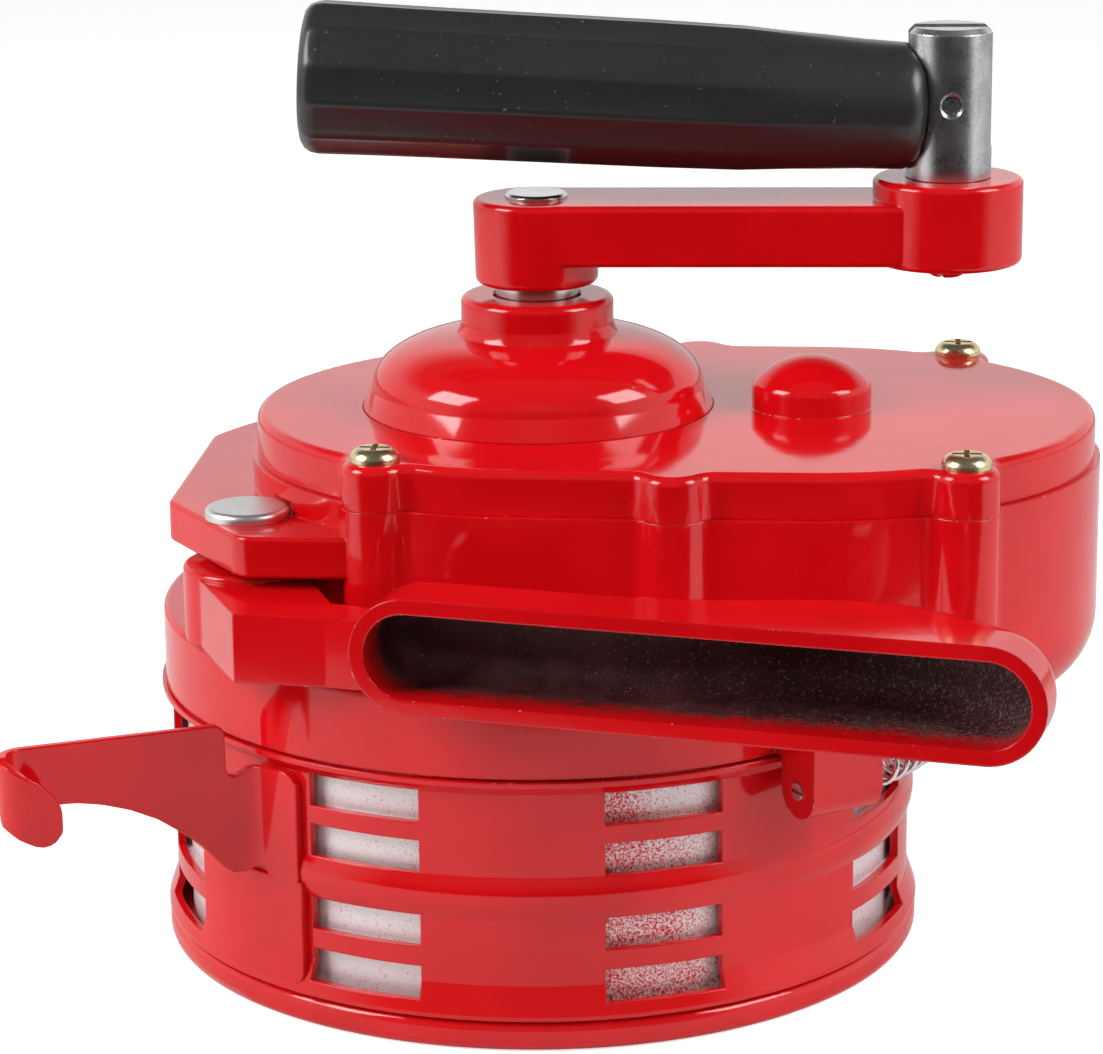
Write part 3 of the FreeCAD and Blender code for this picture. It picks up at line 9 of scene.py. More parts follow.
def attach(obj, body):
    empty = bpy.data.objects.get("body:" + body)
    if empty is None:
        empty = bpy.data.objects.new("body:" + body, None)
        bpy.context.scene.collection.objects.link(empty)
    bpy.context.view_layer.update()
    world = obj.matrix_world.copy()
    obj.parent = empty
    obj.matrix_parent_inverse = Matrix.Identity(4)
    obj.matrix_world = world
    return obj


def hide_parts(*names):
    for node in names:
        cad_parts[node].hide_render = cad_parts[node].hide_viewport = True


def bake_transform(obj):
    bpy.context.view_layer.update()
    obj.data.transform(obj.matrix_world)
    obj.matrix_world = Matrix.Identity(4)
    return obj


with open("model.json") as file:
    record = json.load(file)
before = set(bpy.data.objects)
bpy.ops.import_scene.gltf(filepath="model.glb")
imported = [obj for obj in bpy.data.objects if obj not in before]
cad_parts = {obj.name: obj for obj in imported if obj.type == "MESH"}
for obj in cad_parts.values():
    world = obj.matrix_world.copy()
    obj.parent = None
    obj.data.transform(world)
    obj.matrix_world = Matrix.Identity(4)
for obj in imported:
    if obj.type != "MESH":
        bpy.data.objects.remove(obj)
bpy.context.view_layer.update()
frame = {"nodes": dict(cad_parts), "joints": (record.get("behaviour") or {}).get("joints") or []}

MM = 0.001
UP = (0.0, 0.0, 1.0)
MERGE = 0.002 * MM

# ---- camera: a long lens from the front and a little above ----
CAMERA_PLACE = (0.0665, -0.7603, 0.2861)
CAMERA_HEADING = math.radians(5.0) - 0.0032
CAMERA_PITCH = 0.2623
CAMERA_ROLL = -0.0088
SENSOR = 36.0
LENS = 129.17

# ---- light: brightness of the sweep, the room and what is overhead ----
SWEEP = 0.95
ZENITH = 0.12
ROOM_LOW = 0.02
ROOM_HIGH = 0.18
TABLE_EDGE = -0.275
FLOOR_REACH = 7.0

# ---- the carrying handle's channel, along its own direction ----
HANDLE_DEG = -12.7
CHANNEL_FRONT = -88.52
CHANNEL_FROM = -8.1
CHANNEL_TO = 118.9
CHANNEL_Z = 80.0

# ---- colours ----
RED = (0.69, 0.0045, 0.008, 1.0)
RED_THICK = (0.60, 0.0025, 0.005, 1.0)
ALUMINIUM = (0.83, 0.83, 0.84, 1.0)


# ---- nodes ----
class Nodes:
    """Short calls that add a node to a tree. Sockets are given by name, with _ for a space."""

    def __init__(self, tree):
        self.tree = tree

    def put(self, kind, settings=(), **sockets):
        node = self.tree.nodes.new("ShaderNode" + kind)
        for name, value in dict(settings).items():
            setattr(node, name, value)
        for name, value in sockets.items():
            self.feed(node.inputs[name.replace("_", " ")], value)
        return node

    def feed(self, socket, value):
        if isinstance(value, bpy.types.NodeSocket):
            self.tree.links.new(value, socket)
        else:
            socket.default_value = value

    def math(self, operation, a, b=0.0, clamp=False):
        node = self.put("Math", {"operation": operation, "use_clamp": clamp})
        self.feed(node.inputs[0], a)
        self.feed(node.inputs[1], b)
        return node.outputs[0]

    def noise(self, vector, scale, detail=2.0, rough=0.5):
        return self.put("TexNoise", Vector=vector, Scale=scale, Detail=detail, Roughness=rough).outputs["Fac"]

    def step(self, value, low, high):
        """0 below low, 1 above high."""
        node = self.put("MapRange", {"clamp": True}, Value=value, From_Min=low, From_Max=high)
        return node.outputs["Result"]

    def between(self, value, low, high):
        """A value from 0 to 1 brought between two others."""
        return self.put("MapRange", Value=value, To_Min=low, To_Max=high).outputs["Result"]

    def along(self, vector, direction):
        """How far a vector goes in a direction."""
        node = self.put("VectorMath", {"operation": "DOT_PRODUCT"})
        self.feed(node.inputs[0], vector)
        node.inputs[1].default_value = direction
        return node.outputs["Value"]

    def mix(self, share, a, b):
        node = self.put("Mix", {"data_type": "RGBA"})
        for at, value in ((0, share), (6, a), (7, b)):
            self.feed(node.inputs[at], value)
        return node.outputs[2]

    def group(self, group, **sockets):
        node = self.put("Group", {"node_tree": group})
        for name, value in sockets.items():
            self.feed(node.inputs[name.replace("_", " ")], value)
        return node.outputs


def new_group(name, inputs, outputs):
    """An empty node group. Gives its nodes, its input sockets and a call that feeds an output."""
    tree = bpy.data.node_groups.new(name, "ShaderNodeTree")
    for label, kind in inputs:
        tree.interface.new_socket(label, in_out="INPUT", socket_type="NodeSocket" + kind)
    for label, kind in outputs:
        tree.interface.new_socket(label, in_out="OUTPUT", socket_type="NodeSocket" + kind)
    entry = tree.nodes.new("NodeGroupInput").outputs
    leave = tree.nodes.new("NodeGroupOutput").inputs
    return tree, Nodes(tree), entry, lambda label, value: tree.links.new(value, leave[label])


def enamel_skin_group():
    """Sprayed enamel: orange peel, slow waves where it ran, and dust nibs."""
    tree, nodes, entry, give = new_group(
        "enamel_skin", (("Vector", "Vector"), ("Peel", "Float"), ("Wave", "Float")),
        (("Height", "Float"), ("Thickness", "Float")))
    peel = nodes.noise(entry["Vector"], entry["Peel"], 1.5)
    wave = nodes.noise(entry["Vector"], entry["Wave"], 1.0)
    dust = nodes.put("TexVoronoi", Vector=entry["Vector"], Scale=150.0, Randomness=1.0).outputs["Distance"]
    sparse = nodes.step(nodes.noise(entry["Vector"], 60.0, 0.0), 0.62, 0.66)
    nibs = nodes.math("MULTIPLY", nodes.math("SUBTRACT", 1.0, nodes.step(dust, 0.03, 0.08)), sparse)
    height = nodes.math("ADD", nodes.math("MULTIPLY", peel, 0.25), nodes.math("MULTIPLY", wave, 1.6))
    give("Height", nodes.math("ADD", height, nodes.math("MULTIPLY", nibs, 0.9)))
    give("Thickness", nodes.noise(entry["Vector"], 38.0, 2.0))
    return tree


def edge_group():
    """Softened normals over sharp edges, and a mask of where those edges are."""
    tree, nodes, entry, give = new_group(
        "edge", (("Radius", "Float"),), (("Normal", "Vector"), ("Edge", "Float")))
    soft = nodes.put("Bevel", {"samples": 6}, Radius=entry["Radius"]).outputs["Normal"]
    true = nodes.put("NewGeometry").outputs["True Normal"]
    dot = nodes.put("VectorMath", {"operation": "DOT_PRODUCT"})
    tree.links.new(soft, dot.inputs[0])
    tree.links.new(true, dot.inputs[1])
    give("Normal", soft)
    give("Edge", nodes.math("SUBTRACT", 1.0, dot.outputs["Value"], clamp=True))
    return tree


def mottle_group():
    """Cloudy plate or bare metal: patches and fine grain."""
    tree, nodes, entry, give = new_group(
        "mottle", (("Vector", "Vector"), ("Patches", "Float"), ("Grain", "Float")),
        (("Tone", "Float"), ("Height", "Float")))
    patches = nodes.noise(entry["Vector"], entry["Patches"], 4.0, 0.65)
    grain = nodes.noise(entry["Vector"], entry["Grain"], 3.0, 0.7)
    blend = nodes.math("ADD", nodes.math("MULTIPLY", patches, 0.65), nodes.math("MULTIPLY", grain, 0.35))
    give("Tone", blend)
    give("Height", grain)
    return tree


ENAMEL_SKIN = enamel_skin_group()
EDGE = edge_group()
MOTTLE = mottle_group()


class Finish(Nodes):
    """A material: one Principled shader fed from Object coordinates."""

    def __init__(self, name, **sockets):
        self.material = bpy.data.materials.new(name)
        self.material.use_nodes = True
        super().__init__(self.material.node_tree)
        self.shader = self.tree.nodes["Principled BSDF"]
        self.place = self.put("TexCoord").outputs["Object"]
        for socket, value in sockets.items():
            self.set(socket.replace("_", " "), value)

    def set(self, socket, value):
        self.feed(self.shader.inputs[socket], value)

    def now(self, socket):
        """What feeds one of the shader's sockets at present."""
        return self.shader.inputs[socket].links[0].from_socket

    def bump(self, height, distance, under=None):
        """Relief of a real height in metres over the normals given."""
        node = self.put("Bump", Strength=1.0, Distance=distance, Height=height)
        if under is not None:
            self.tree.links.new(under, node.inputs["Normal"])
        self.set("Normal", node.outputs["Normal"])


# ---- materials ----
def enamel(name, peel=620.0, wave=85.0, relief=0.028 * MM, edge=0.5 * MM):
    """Glossy red enamel, darker on sharp edges (thinner enamel) and in creases (painted shade), with bare flecks
    where it chipped.
    """
    finish = Finish(name, IOR=1.5)
    skin = finish.group(ENAMEL_SKIN, Vector=finish.place, Peel=peel, Wave=wave)
    edges = finish.group(EDGE, Radius=edge)
    body = finish.mix(finish.step(skin["Thickness"], 0.35, 0.65), RED, RED_THICK)
    # Darker red along edges and creases: thinner enamel on outer edges, painted shade in inner creases and
    # joints.
    edge_thinning_and_crease_shade = finish.step(edges["Edge"], 0.10, 0.45)
    body = finish.mix(finish.math("MULTIPLY", edge_thinning_and_crease_shade, 0.45), body, (0.30, 0.002, 0.004, 1.0))
    crumbs = finish.step(finish.noise(finish.place, 900.0, 2.0), 0.66, 0.70)
    chips = finish.math("MULTIPLY", crumbs, finish.step(edges["Edge"], 0.12, 0.3))
    finish.set("Base Color", finish.mix(chips, body, ALUMINIUM))
    finish.set("Roughness", finish.between(skin["Thickness"], 0.05, 0.13))
    finish.bump(skin["Height"], relief, edges["Normal"])
    return finish


def channel_shade_facing(finish, aside, forward):
    """Where the channel's painted shade falls: 1 on its floor and on the walls that face its middle. Normals are
    in world directions.
    """
    normal = finish.put("NewGeometry").outputs["Normal"]
    floor = finish.step(finish.along(normal, forward), 0.5, 0.7)
    level = finish.math("SUBTRACT", finish.along(finish.place, UP), CHANNEL_Z * MM)
    rise = finish.math("MULTIPLY", finish.along(normal, UP), level)
    middle = (CHANNEL_FROM + CHANNEL_TO) / 2 * MM
    off = finish.math("SUBTRACT", finish.along(finish.place, aside), middle)
    run = finish.math("MULTIPLY", finish.along(normal, aside), off)
    walls = finish.step(finish.math("ADD", rise, finish.math("MULTIPLY", run, 0.4)), -0.5 * MM, -1.5 * MM)
    return finish.math("MAXIMUM", floor, walls)


def channel_enamel_painted_shade(name):
    """The carrying handle's enamel: red outside, painted shade over the rough casting deep in the channel, with
    painted glints.
    """
    finish = enamel(name)
    turn = math.radians(HANDLE_DEG)
    aside = (math.cos(turn), math.sin(turn), 0.0)
    back = (-math.sin(turn), math.cos(turn), 0.0)
    forward = (math.sin(turn), -math.cos(turn), 0.0)
    depth = finish.math("SUBTRACT", finish.along(finish.place, back), CHANNEL_FRONT * MM)
    length = finish.along(finish.place, aside)
    torn = finish.math("SUBTRACT", finish.noise(finish.place, 260.0, 4.0, 0.7), 0.5)
    ragged = finish.math("MULTIPLY", torn, 10.0 * MM)
    deep = finish.step(finish.math("ADD", depth, ragged), 3.0 * MM, 9.0 * MM)
    channel = finish.step(length, CHANNEL_FROM * MM, (CHANNEL_FROM + 1.5) * MM)
    inside = finish.math("MULTIPLY", deep, channel)
    inside = finish.math("MULTIPLY", inside, channel_shade_facing(finish, aside, forward))
    # Grey specks that grow more towards the far end: painted glints.
    glints_toward_far_end = finish.step(length, CHANNEL_FROM * MM, CHANNEL_TO * MM)
    glint_grains = finish.math("ADD", finish.noise(finish.place, 1700.0, 3.0, 0.75), finish.between(glints_toward_far_end, -0.05, 0.10))
    specks = finish.step(glint_grains, 0.60, 0.72)
    cloud = finish.step(finish.noise(finish.place, 120.0, 3.0, 0.6), 0.35, 0.7)
    # Near-black red in the channel: painted shade over the rough casting.
    dark = finish.mix(cloud, (0.050, 0.006, 0.007, 1.0), (0.105, 0.030, 0.030, 1.0))
    dark = finish.mix(specks, dark, (0.34, 0.22, 0.22, 1.0))
    finish.set("Base Color", finish.mix(inside, finish.now("Base Color"), dark))
    finish.set("Roughness", finish.math("ADD", finish.now("Roughness"), finish.between(inside, 0.0, 0.5)))
    return finish


def bare_drum():
    """Bright turned aluminium with a frosting of red overspray."""
    finish = Finish("bare_drum", Metallic=0.55, Roughness=0.5)
    mottle = finish.group(MOTTLE, Vector=finish.place, Patches=90.0, Grain=1500.0)
    parts = finish.put("SeparateXYZ", Vector=finish.place).outputs
    reach = finish.math("ADD", parts["X"], finish.math("MULTIPLY", parts["Z"], 0.35))
    heavy = finish.step(finish.math("ABSOLUTE", finish.math("SUBTRACT", reach, 0.024)), 0.034, 0.012)
    patchy = finish.math("SUBTRACT", finish.noise(finish.place, 90.0, 1.0), 0.5)
    share = finish.math("ADD", finish.math("MULTIPLY", heavy, 0.16), finish.math("MULTIPLY", patchy, 0.2))
    dots = finish.math("ADD", finish.noise(finish.place, 2100.0, 3.0, 0.8), share)
    spray = finish.step(dots, 0.58, 0.72)
    metal = finish.mix(mottle["Tone"], (0.78, 0.77, 0.78, 1.0), (0.95, 0.95, 0.96, 1.0))
    finish.set("Base Color", finish.mix(spray, metal, RED))
    finish.set("Roughness", finish.between(mottle["Tone"], 0.38, 0.6))
    finish.bump(mottle["Height"], 0.02 * MM)
    return finish.material


def plated(name, dark, light, rough, patches=120.0, grain=1800.0, relief=0.012 * MM, edge=0.25 * MM):
    """Metal or plate over steel, cloudy and finely grained, with a painted highlight on its edges."""
    finish = Finish(name, Metallic=1.0)
    mottle = finish.group(MOTTLE, Vector=finish.place, Patches=patches, Grain=grain)
    edges = finish.group(EDGE, Radius=edge)
    body = finish.mix(finish.step(mottle["Tone"], 0.3, 0.7), dark, light)
    # Lighter colour over edges and creases: a painted highlight.
    finish.set("Base Color", finish.mix(finish.step(edges["Edge"], 0.05, 0.5), body, light))
    finish.set("Roughness", finish.between(mottle["Tone"], rough[0], rough[1]))
    finish.bump(mottle["Height"], relief, edges["Normal"])
    return finish.material


def black_moulding():
    """Satin-gloss black plastic with faint lengthwise drag and dust."""
    finish = Finish("black_moulding", Coat_Weight=0.25, Coat_Roughness=0.12, IOR=1.5)
    mottle = finish.group(MOTTLE, Vector=finish.place, Patches=70.0, Grain=900.0)
    specks = finish.step(finish.noise(finish.place, 1300.0, 1.0), 0.74, 0.78)
    body = finish.mix(mottle["Tone"], (0.013, 0.013, 0.014, 1.0), (0.024, 0.024, 0.025, 1.0))
    finish.set("Base Color", finish.mix(finish.math("MULTIPLY", specks, 0.35), body, (0.3, 0.3, 0.3, 1.0)))
    finish.set("Roughness", finish.between(mottle["Tone"], 0.32, 0.44))
    finish.bump(mottle["Height"], 0.006 * MM)
    return finish.material


def cover_of(node, material):
    """Gives a CAD node its material."""
    slots = frame["nodes"][node].data.materials
    slots.clear()
    slots.append(material)


# ---- hand tools ----
def deselect():
    bpy.ops.object.select_all(action="DESELECT")


def make_active(piece):
    """Selects a piece alone."""
    deselect()
    piece.select_set(True)
    bpy.context.view_layer.objects.active = piece


def edit(piece):
    """Opens a piece in edit mode with nothing selected."""
    make_active(piece)
    bpy.ops.object.mode_set(mode="EDIT")
    bpy.ops.mesh.select_mode(type="VERT")
    bpy.ops.mesh.select_all(action="DESELECT")


def pick(piece, wanted):
    """Selects the points of an open piece whose places pass a test."""
    mesh = bmesh.from_edit_mesh(piece.data)
    for point in mesh.verts:
        point.select_set(bool(wanted(point.co)))
    mesh.select_flush_mode()
    bmesh.update_edit_mesh(piece.data)


def close_edit():
    bpy.ops.object.mode_set(mode="OBJECT")


def copy_of(node, name):
    """A piece that starts as a merged copy of a CAD node."""
    piece = bpy.data.objects.new(name, frame["nodes"][node].data.copy())
    bpy.context.collection.objects.link(piece)
    edit(piece)
    bpy.ops.mesh.customdata_custom_splitnormals_clear()
    bpy.ops.mesh.select_all(action="SELECT")
    bpy.ops.mesh.remove_doubles(threshold=MERGE)
    return piece


def apply_all(piece):
    """Applies every modifier."""
    make_active(piece)
    for modifier in list(piece.modifiers):
        bpy.ops.object.modifier_apply(modifier=modifier.name)


def cut_away(piece, cutter):
    """Takes the cutter's volume out of the piece."""
    cut = piece.modifiers.new("cut", "BOOLEAN")
    cut.operation = "DIFFERENCE"
    cut.object = cutter
    apply_all(piece)
    bpy.data.objects.remove(cutter)


def joined(piece, other):
    """Makes two pieces one."""
    make_active(piece)
    other.select_set(True)
    bpy.ops.object.join()
    return piece


def face_out(piece):
    """Merges doubles and turns every face outwards."""
    edit(piece)
    bpy.ops.mesh.select_all(action="SELECT")
    bpy.ops.mesh.remove_doubles(threshold=MERGE)
    bpy.ops.mesh.normals_make_consistent(inside=False)
    close_edit()


def finish_piece(piece, material, node, body, degrees=32.0):
    """Smooths a finished piece, gives it its material and puts it in its node's place."""
    make_active(piece)
    bpy.ops.object.transform_apply(location=True, rotation=True, scale=True)
    bpy.ops.object.shade_smooth_by_angle(angle=math.radians(degrees))
    weigh = piece.modifiers.new("weigh", "WEIGHTED_NORMAL")
    weigh.keep_sharp = True
    apply_all(piece)
    piece.data.materials.clear()
    piece.data.materials.append(material)
    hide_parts(node)
    if body:
        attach(piece, body)
    return piece


def turned(name, stations, sides=96, capped=True):
    """A turned form on Z: a circle drawn out from station to station, each a radius and a height in mm."""
    radius, height = stations[0]
    bpy.ops.mesh.primitive_circle_add(vertices=sides, radius=radius * MM, location=(0.0, 0.0, height * MM))
    piece = bpy.context.object
    piece.name = name
    bpy.ops.object.transform_apply(location=True)
    bpy.ops.object.mode_set(mode="EDIT")
    if capped:
        bpy.ops.mesh.edge_face_add()
        bpy.ops.mesh.select_all(action="SELECT")
    for (radius, height), (new_radius, new_height) in zip(stations, stations[1:]):
        rise = (new_height - height) * MM
        bpy.ops.mesh.extrude_region_move(TRANSFORM_OT_translate={"value": (0.0, 0.0, rise)})
        share = new_radius / radius
        bpy.ops.transform.resize(value=(share, share, 1.0), center_override=(0.0, 0.0, new_height * MM))
    close_edit()
    return piece


def put_at(piece, matrix):
    """Places a piece and puts the place in its mesh."""
    piece.matrix_world = matrix
    make_active(piece)
    bpy.ops.object.transform_apply(location=True, rotation=True, scale=True)


def box_between(name, low, high):
    """A box between two corners in mm."""
    bpy.ops.mesh.primitive_cube_add(size=1.0)
    piece = bpy.context.object
    piece.name = name
    edit(piece)
    bpy.ops.mesh.select_all(action="SELECT")
    size = [(b - a) * MM for a, b in zip(low, high)]
    bpy.ops.transform.resize(value=size, center_override=(0.0, 0.0, 0.0))
    bpy.ops.transform.translate(value=[(a + b) / 2 * MM for a, b in zip(low, high)])
    close_edit()
    return piece


def quarter(r0, z0, r1, z1, steps):
    """Stations of a rounded quarter ellipse between two stations."""
    stations = []
    for k in range(1, steps + 1):
        turn = math.pi / 2 * k / steps
        stations.append((r0 + (r1 - r0) * (1 - math.cos(turn)), z0 + (z1 - z0) * math.sin(turn)))
    return stations


# ---- the cover's dome and the crank hub over it ----
ROOF_Z = 106.7
BORE_R = 8.6
DOME_FOOT_R = 34.65
SHOULDER = (32.8, 111.1)
CROWN = (13.5, 121.3)
NECK_R = 15.0
NECK_TOP_Z = 128.8
BEARING_TOP_Z = 121.9
NECK_ROUND = 1.5
BORE_EDGE = 0.3
DOME_SIDES = 144
HUB_RAISE = 1.7
# low and high of what moves with the hub, and its reach from the crank axis
HUB_FOOT = (120.0, 131.2, 12.8)
SPINDLE_COLLAR = (128.0, 131.2, 9.0)


def cover_casting():
    """The cover with a low rounded dome and a plain neck with a flared foot."""
    piece = copy_of("gear_case_cover", "cover_casting")
    pick(piece, lambda p: p.z > (ROOF_Z + 0.02) * MM and p.xy.length < (DOME_FOOT_R + 1) * MM
         and (p.xy.length > (NECK_R - 1) * MM or p.z > (BEARING_TOP_Z + 0.5) * MM))
    bpy.ops.mesh.delete(type="VERT")
    close_edit()
    wall = [(DOME_FOOT_R, ROOF_Z - 0.8), (DOME_FOOT_R, ROOF_Z)]
    wall += [(SHOULDER[0] + 0.12, SHOULDER[1] - 0.35), SHOULDER]
    crown = [at for at in quarter(*SHOULDER, *CROWN, 16) if at[0] > NECK_R + 1.5]
    foot_z = CROWN[1]
    neck = [(NECK_R + 0.9, foot_z), (NECK_R + 0.45, foot_z + 0.9), (NECK_R + 0.1, foot_z + 2.2)]
    neck += [(NECK_R, foot_z + 2.6), (NECK_R, NECK_TOP_Z - NECK_ROUND)]
    neck += quarter(NECK_R, NECK_TOP_Z - NECK_ROUND, NECK_R - NECK_ROUND, NECK_TOP_Z, 5)
    bore = [(BORE_R + BORE_EDGE, NECK_TOP_Z), (BORE_R, NECK_TOP_Z - BORE_EDGE), (BORE_R, BEARING_TOP_Z)]
    stations = wall + crown + neck + bore
    return joined(piece, turned("dome", stations, DOME_SIDES, False))


def raised(node, name, low, high, reach):
    """A copy whose points between two heights, near the crank axis, sit higher by the hub's raise."""
    piece = copy_of(node, name)
    pick(piece, lambda p: low * MM < p.z < high * MM and p.xy.length < reach * MM)
    bpy.ops.transform.translate(value=(0.0, 0.0, HUB_RAISE * MM))
    close_edit()
    return piece


# ---- the finger lever ----
BAND_SKIN_R = 74.0
SHEET_T = 1.7
LEVER_EDGE = 0.45
TAB_EDGE = 0.3
TAB_CORNER_R = 2.6
SKIN_GAP = 0.02
STRIP_FROM_DEG = -122.6
BEND_AT_DEG = -129.0
BEND_R = 5.2
LEVER_DEG = 205.0
ARM_STRAIGHT = 41.35
CURL_R = 4.6
LIP = 5.3
TAB_DEG = (-145.4, -122.0)
TAB_Z = (7.6, 28.3)
# outlines: distance along the lever from its root, height
ARM_TOP = ((-9.0, 50.0), (-1.7, 49.1), (-0.5, 48.2), (0.6, 47.5), (1.9, 47.8), (2.5, 49.0), (2.6, 55.7),
           (3.0, 57.1), (4.2, 57.9), (50.0, 57.9))
ARM_LOW = ((-9.0, 30.6), (-2.9, 29.2), (-1.1, 28.3), (1.4, 28.3), (3.1, 29.3), (5.1, 31.5), (7.8, 34.6),
           (11.9, 37.9), (16.0, 40.8), (21.4, 43.4), (26.8, 45.1), (31.6, 46.0), (50.0, 46.5))
LIP_TOP = ((36.0, 45.7), (36.4, 48.7), (37.3, 50.6), (38.9, 52.5), (41.0, 54.2), (43.6, 55.7), (45.8, 57.2),
           (50.0, 57.9))
LIP_LOW = ((36.0, 45.7), (36.4, 43.6), (37.6, 42.1), (39.4, 41.2), (41.4, 41.7), (44.0, 43.1), (46.0, 45.0),
           (50.0, 46.5))


def polar(radius, degrees):
    return Vector((radius * math.cos(math.radians(degrees)), radius * math.sin(math.radians(degrees))))


def height_at(outline, x):
    """Height of an outline at a distance, straight between its points."""
    for (x0, z0), (x1, z1) in zip(outline, outline[1:]):
        if x <= x1:
            return z0 + (z1 - z0) * max(0.0, (x - x0) / (x1 - x0))
    return outline[-1][1]


def select_numbers(piece, numbers):
    """Selects the points of an open piece by their numbers."""
    mesh = bmesh.from_edit_mesh(piece.data)
    for point in mesh.verts:
        point.select_set(point.index in numbers)
    mesh.select_flush_mode()


def newest_two(piece, low_end):
    """Numbers of the two points added last, the one at the low end first."""
    points = bmesh.from_edit_mesh(piece.data).verts
    points.ensure_lookup_table()
    pair = sorted(points[len(points) - 2:], key=lambda point: (point.co - low_end * MM).length)
    return [point.index for point in pair]


def bent_sheet(name, stations):
    """A sheet drawn out as an upright edge. A station is a place in plan, a low and a high, all in mm."""
    bpy.ops.mesh.primitive_plane_add(size=MM)
    piece = bpy.context.object
    piece.name = name
    edit(piece)
    pick(piece, lambda p: p.y > 0)
    bpy.ops.mesh.delete(type="VERT")
    bpy.ops.mesh.select_all(action="SELECT")
    ends = [Vector((-0.5, -0.5, 0.0)), Vector((0.5, -0.5, 0.0))]
    for count, (place, low, high) in enumerate(stations):
        if count:
            bpy.ops.mesh.extrude_region_move()
        pair = newest_two(piece, ends[0])
        wanted = [Vector((place.x, place.y, low)), Vector((place.x, place.y, high))]
        for number, old, new in zip(pair, ends, wanted):
            select_numbers(piece, (number,))
            bpy.ops.transform.translate(value=(new - old) * MM)
        ends = wanted
        select_numbers(piece, pair)
    close_edit()
    return piece


def thickened(piece, thickness, edge):
    """A sheet given its thickness and rounded edges."""
    wall = piece.modifiers.new("wall", "SOLIDIFY")
    wall.thickness = thickness * MM
    wall.offset = 0.0
    wall.use_even_offset = True
    rounding = piece.modifiers.new("rounding", "BEVEL")
    rounding.width = edge * MM
    rounding.segments = 3
    rounding.limit_method = "ANGLE"
    rounding.angle_limit = math.radians(50.0)
    apply_all(piece)
    face_out(piece)
    return piece


def lever_plan():
    """Places in plan along the lever, each with its distance along it and whether it is on the lip's side."""
    skin = BAND_SKIN_R + SHEET_T / 2 + SKIN_GAP
    start = polar(skin, BEND_AT_DEG)
    centre = start + polar(BEND_R, BEND_AT_DEG)
    out = polar(1.0, LEVER_DEG)
    side = polar(1.0, LEVER_DEG + 90)
    root = centre + polar(BEND_R, LEVER_DEG - 90)
    places = [polar(skin, STRIP_FROM_DEG + (BEND_AT_DEG - STRIP_FROM_DEG) * k / 6) for k in range(6)]
    first = BEND_AT_DEG + 180
    places += [centre + polar(BEND_R, first + (LEVER_DEG - 90 - first) * k / 10) for k in range(10)]
    found = [(place, (place - root).dot(out), False) for place in places]
    distances = [0.0, 0.7, 1.4, 1.9, 2.5, 2.6, 3.0, 3.5, 4.2]
    distances += [4.2 + (ARM_STRAIGHT - 4.2) * k / 22 for k in range(1, 22)]
    found += [(root + out * x, x, False) for x in distances]
    middle = root + out * ARM_STRAIGHT + side * CURL_R
    for k in range(17):
        turn = math.pi * k / 16
        ahead = CURL_R * math.sin(turn)
        found.append((middle + out * ahead - side * (CURL_R * math.cos(turn)), ARM_STRAIGHT + ahead, k > 8))
    near = middle + side * CURL_R
    found += [(near - out * (LIP * share), ARM_STRAIGHT - LIP * share, True)
              for share in (0.25, 0.5, 0.7, 0.83, 0.92, 0.97)]
    return found


def finger_lever():
    """The strip on the shutter ring, with a rounded top corner, and the lever with its J-shaped end."""
    stations = []
    for place, x, lip_side in lever_plan():
        top, low = (LIP_TOP, LIP_LOW) if lip_side else (ARM_TOP, ARM_LOW)
        stations.append((place, height_at(low, x), height_at(top, x)))
    for k, drop in enumerate((2.2, 0.8, 0.2, 0.0, 0.0, 0.0)):
        place, low, high = stations[k]
        stations[k] = (place, TAB_Z[1] - 1.0, high - drop)
    lever = thickened(bent_sheet("finger_lever", stations), SHEET_T, LEVER_EDGE)
    return joined(lever, tab_sheet())


def tab_sheet():
    """The tab under the strip, with rounded lower corners."""
    skin = BAND_SKIN_R + SHEET_T / 2
    span = TAB_DEG[1] - TAB_DEG[0]
    stations = []
    for share in (0.0, 0.02, 0.06, 0.12, 0.2, 0.3, 0.4, 0.5, 0.6, 0.7, 0.8, 0.88, 0.94, 0.98, 1.0):
        from_end = min(share, 1 - share) * math.radians(span) * skin
        into = 1 - min(1.0, from_end / TAB_CORNER_R)
        corner = TAB_CORNER_R * (1 - math.sqrt(max(0.0, 1 - into ** 2)))
        stations.append((polar(skin, TAB_DEG[0] + span * share), TAB_Z[0] + corner, TAB_Z[1]))
    return thickened(bent_sheet("tab", stations), SHEET_T, TAB_EDGE)


# ---- the grip ----
FLUTES = 12
FLUTE_DEPTH = 0.8
FLUTE_PHASE = math.radians(-18.0)
STEPS_PER_FLUTE = 8
FLUTE_SHARPNESS = 0.7
FLUTES_START = 25.0
FLUTES_FULL = 48.0
END_ROUND_FROM = 121.0
FLUTES_END = 125.0
GRIP_DROP = 1.5
ROD_BORE_R = 3.6
ROD_BORE_L = 72.0
MOUTH_W = 4.6
MOUTH_H = 11.8
MOUTH_DEPTH = 18.9
SADDLE_R = 8.7
SADDLE_REACH = 30.0
# distance from the fold pin, radius
GRIP_PROFILE = ((4.4, 7.1), (4.7, 8.4), (5.5, 10.4), (6.2, 11.2), (7.0, 11.6), (8.3, 12.2), (12.0, 12.35),
                (17.0, 12.5), (25.0, 13.0), (33.0, 13.6), (40.0, 14.1), (48.0, 14.25), (56.0, 14.4), (68.0, 14.5),
                (80.0, 14.58), (91.0, 14.66), (100.0, 14.72), (110.0, 14.85), (118.0, 15.0), (121.5, 15.05),
                (123.0, 14.8), (124.2, 14.1), (125.0, 12.9), (125.4, 11.2), (125.5, 8.0))


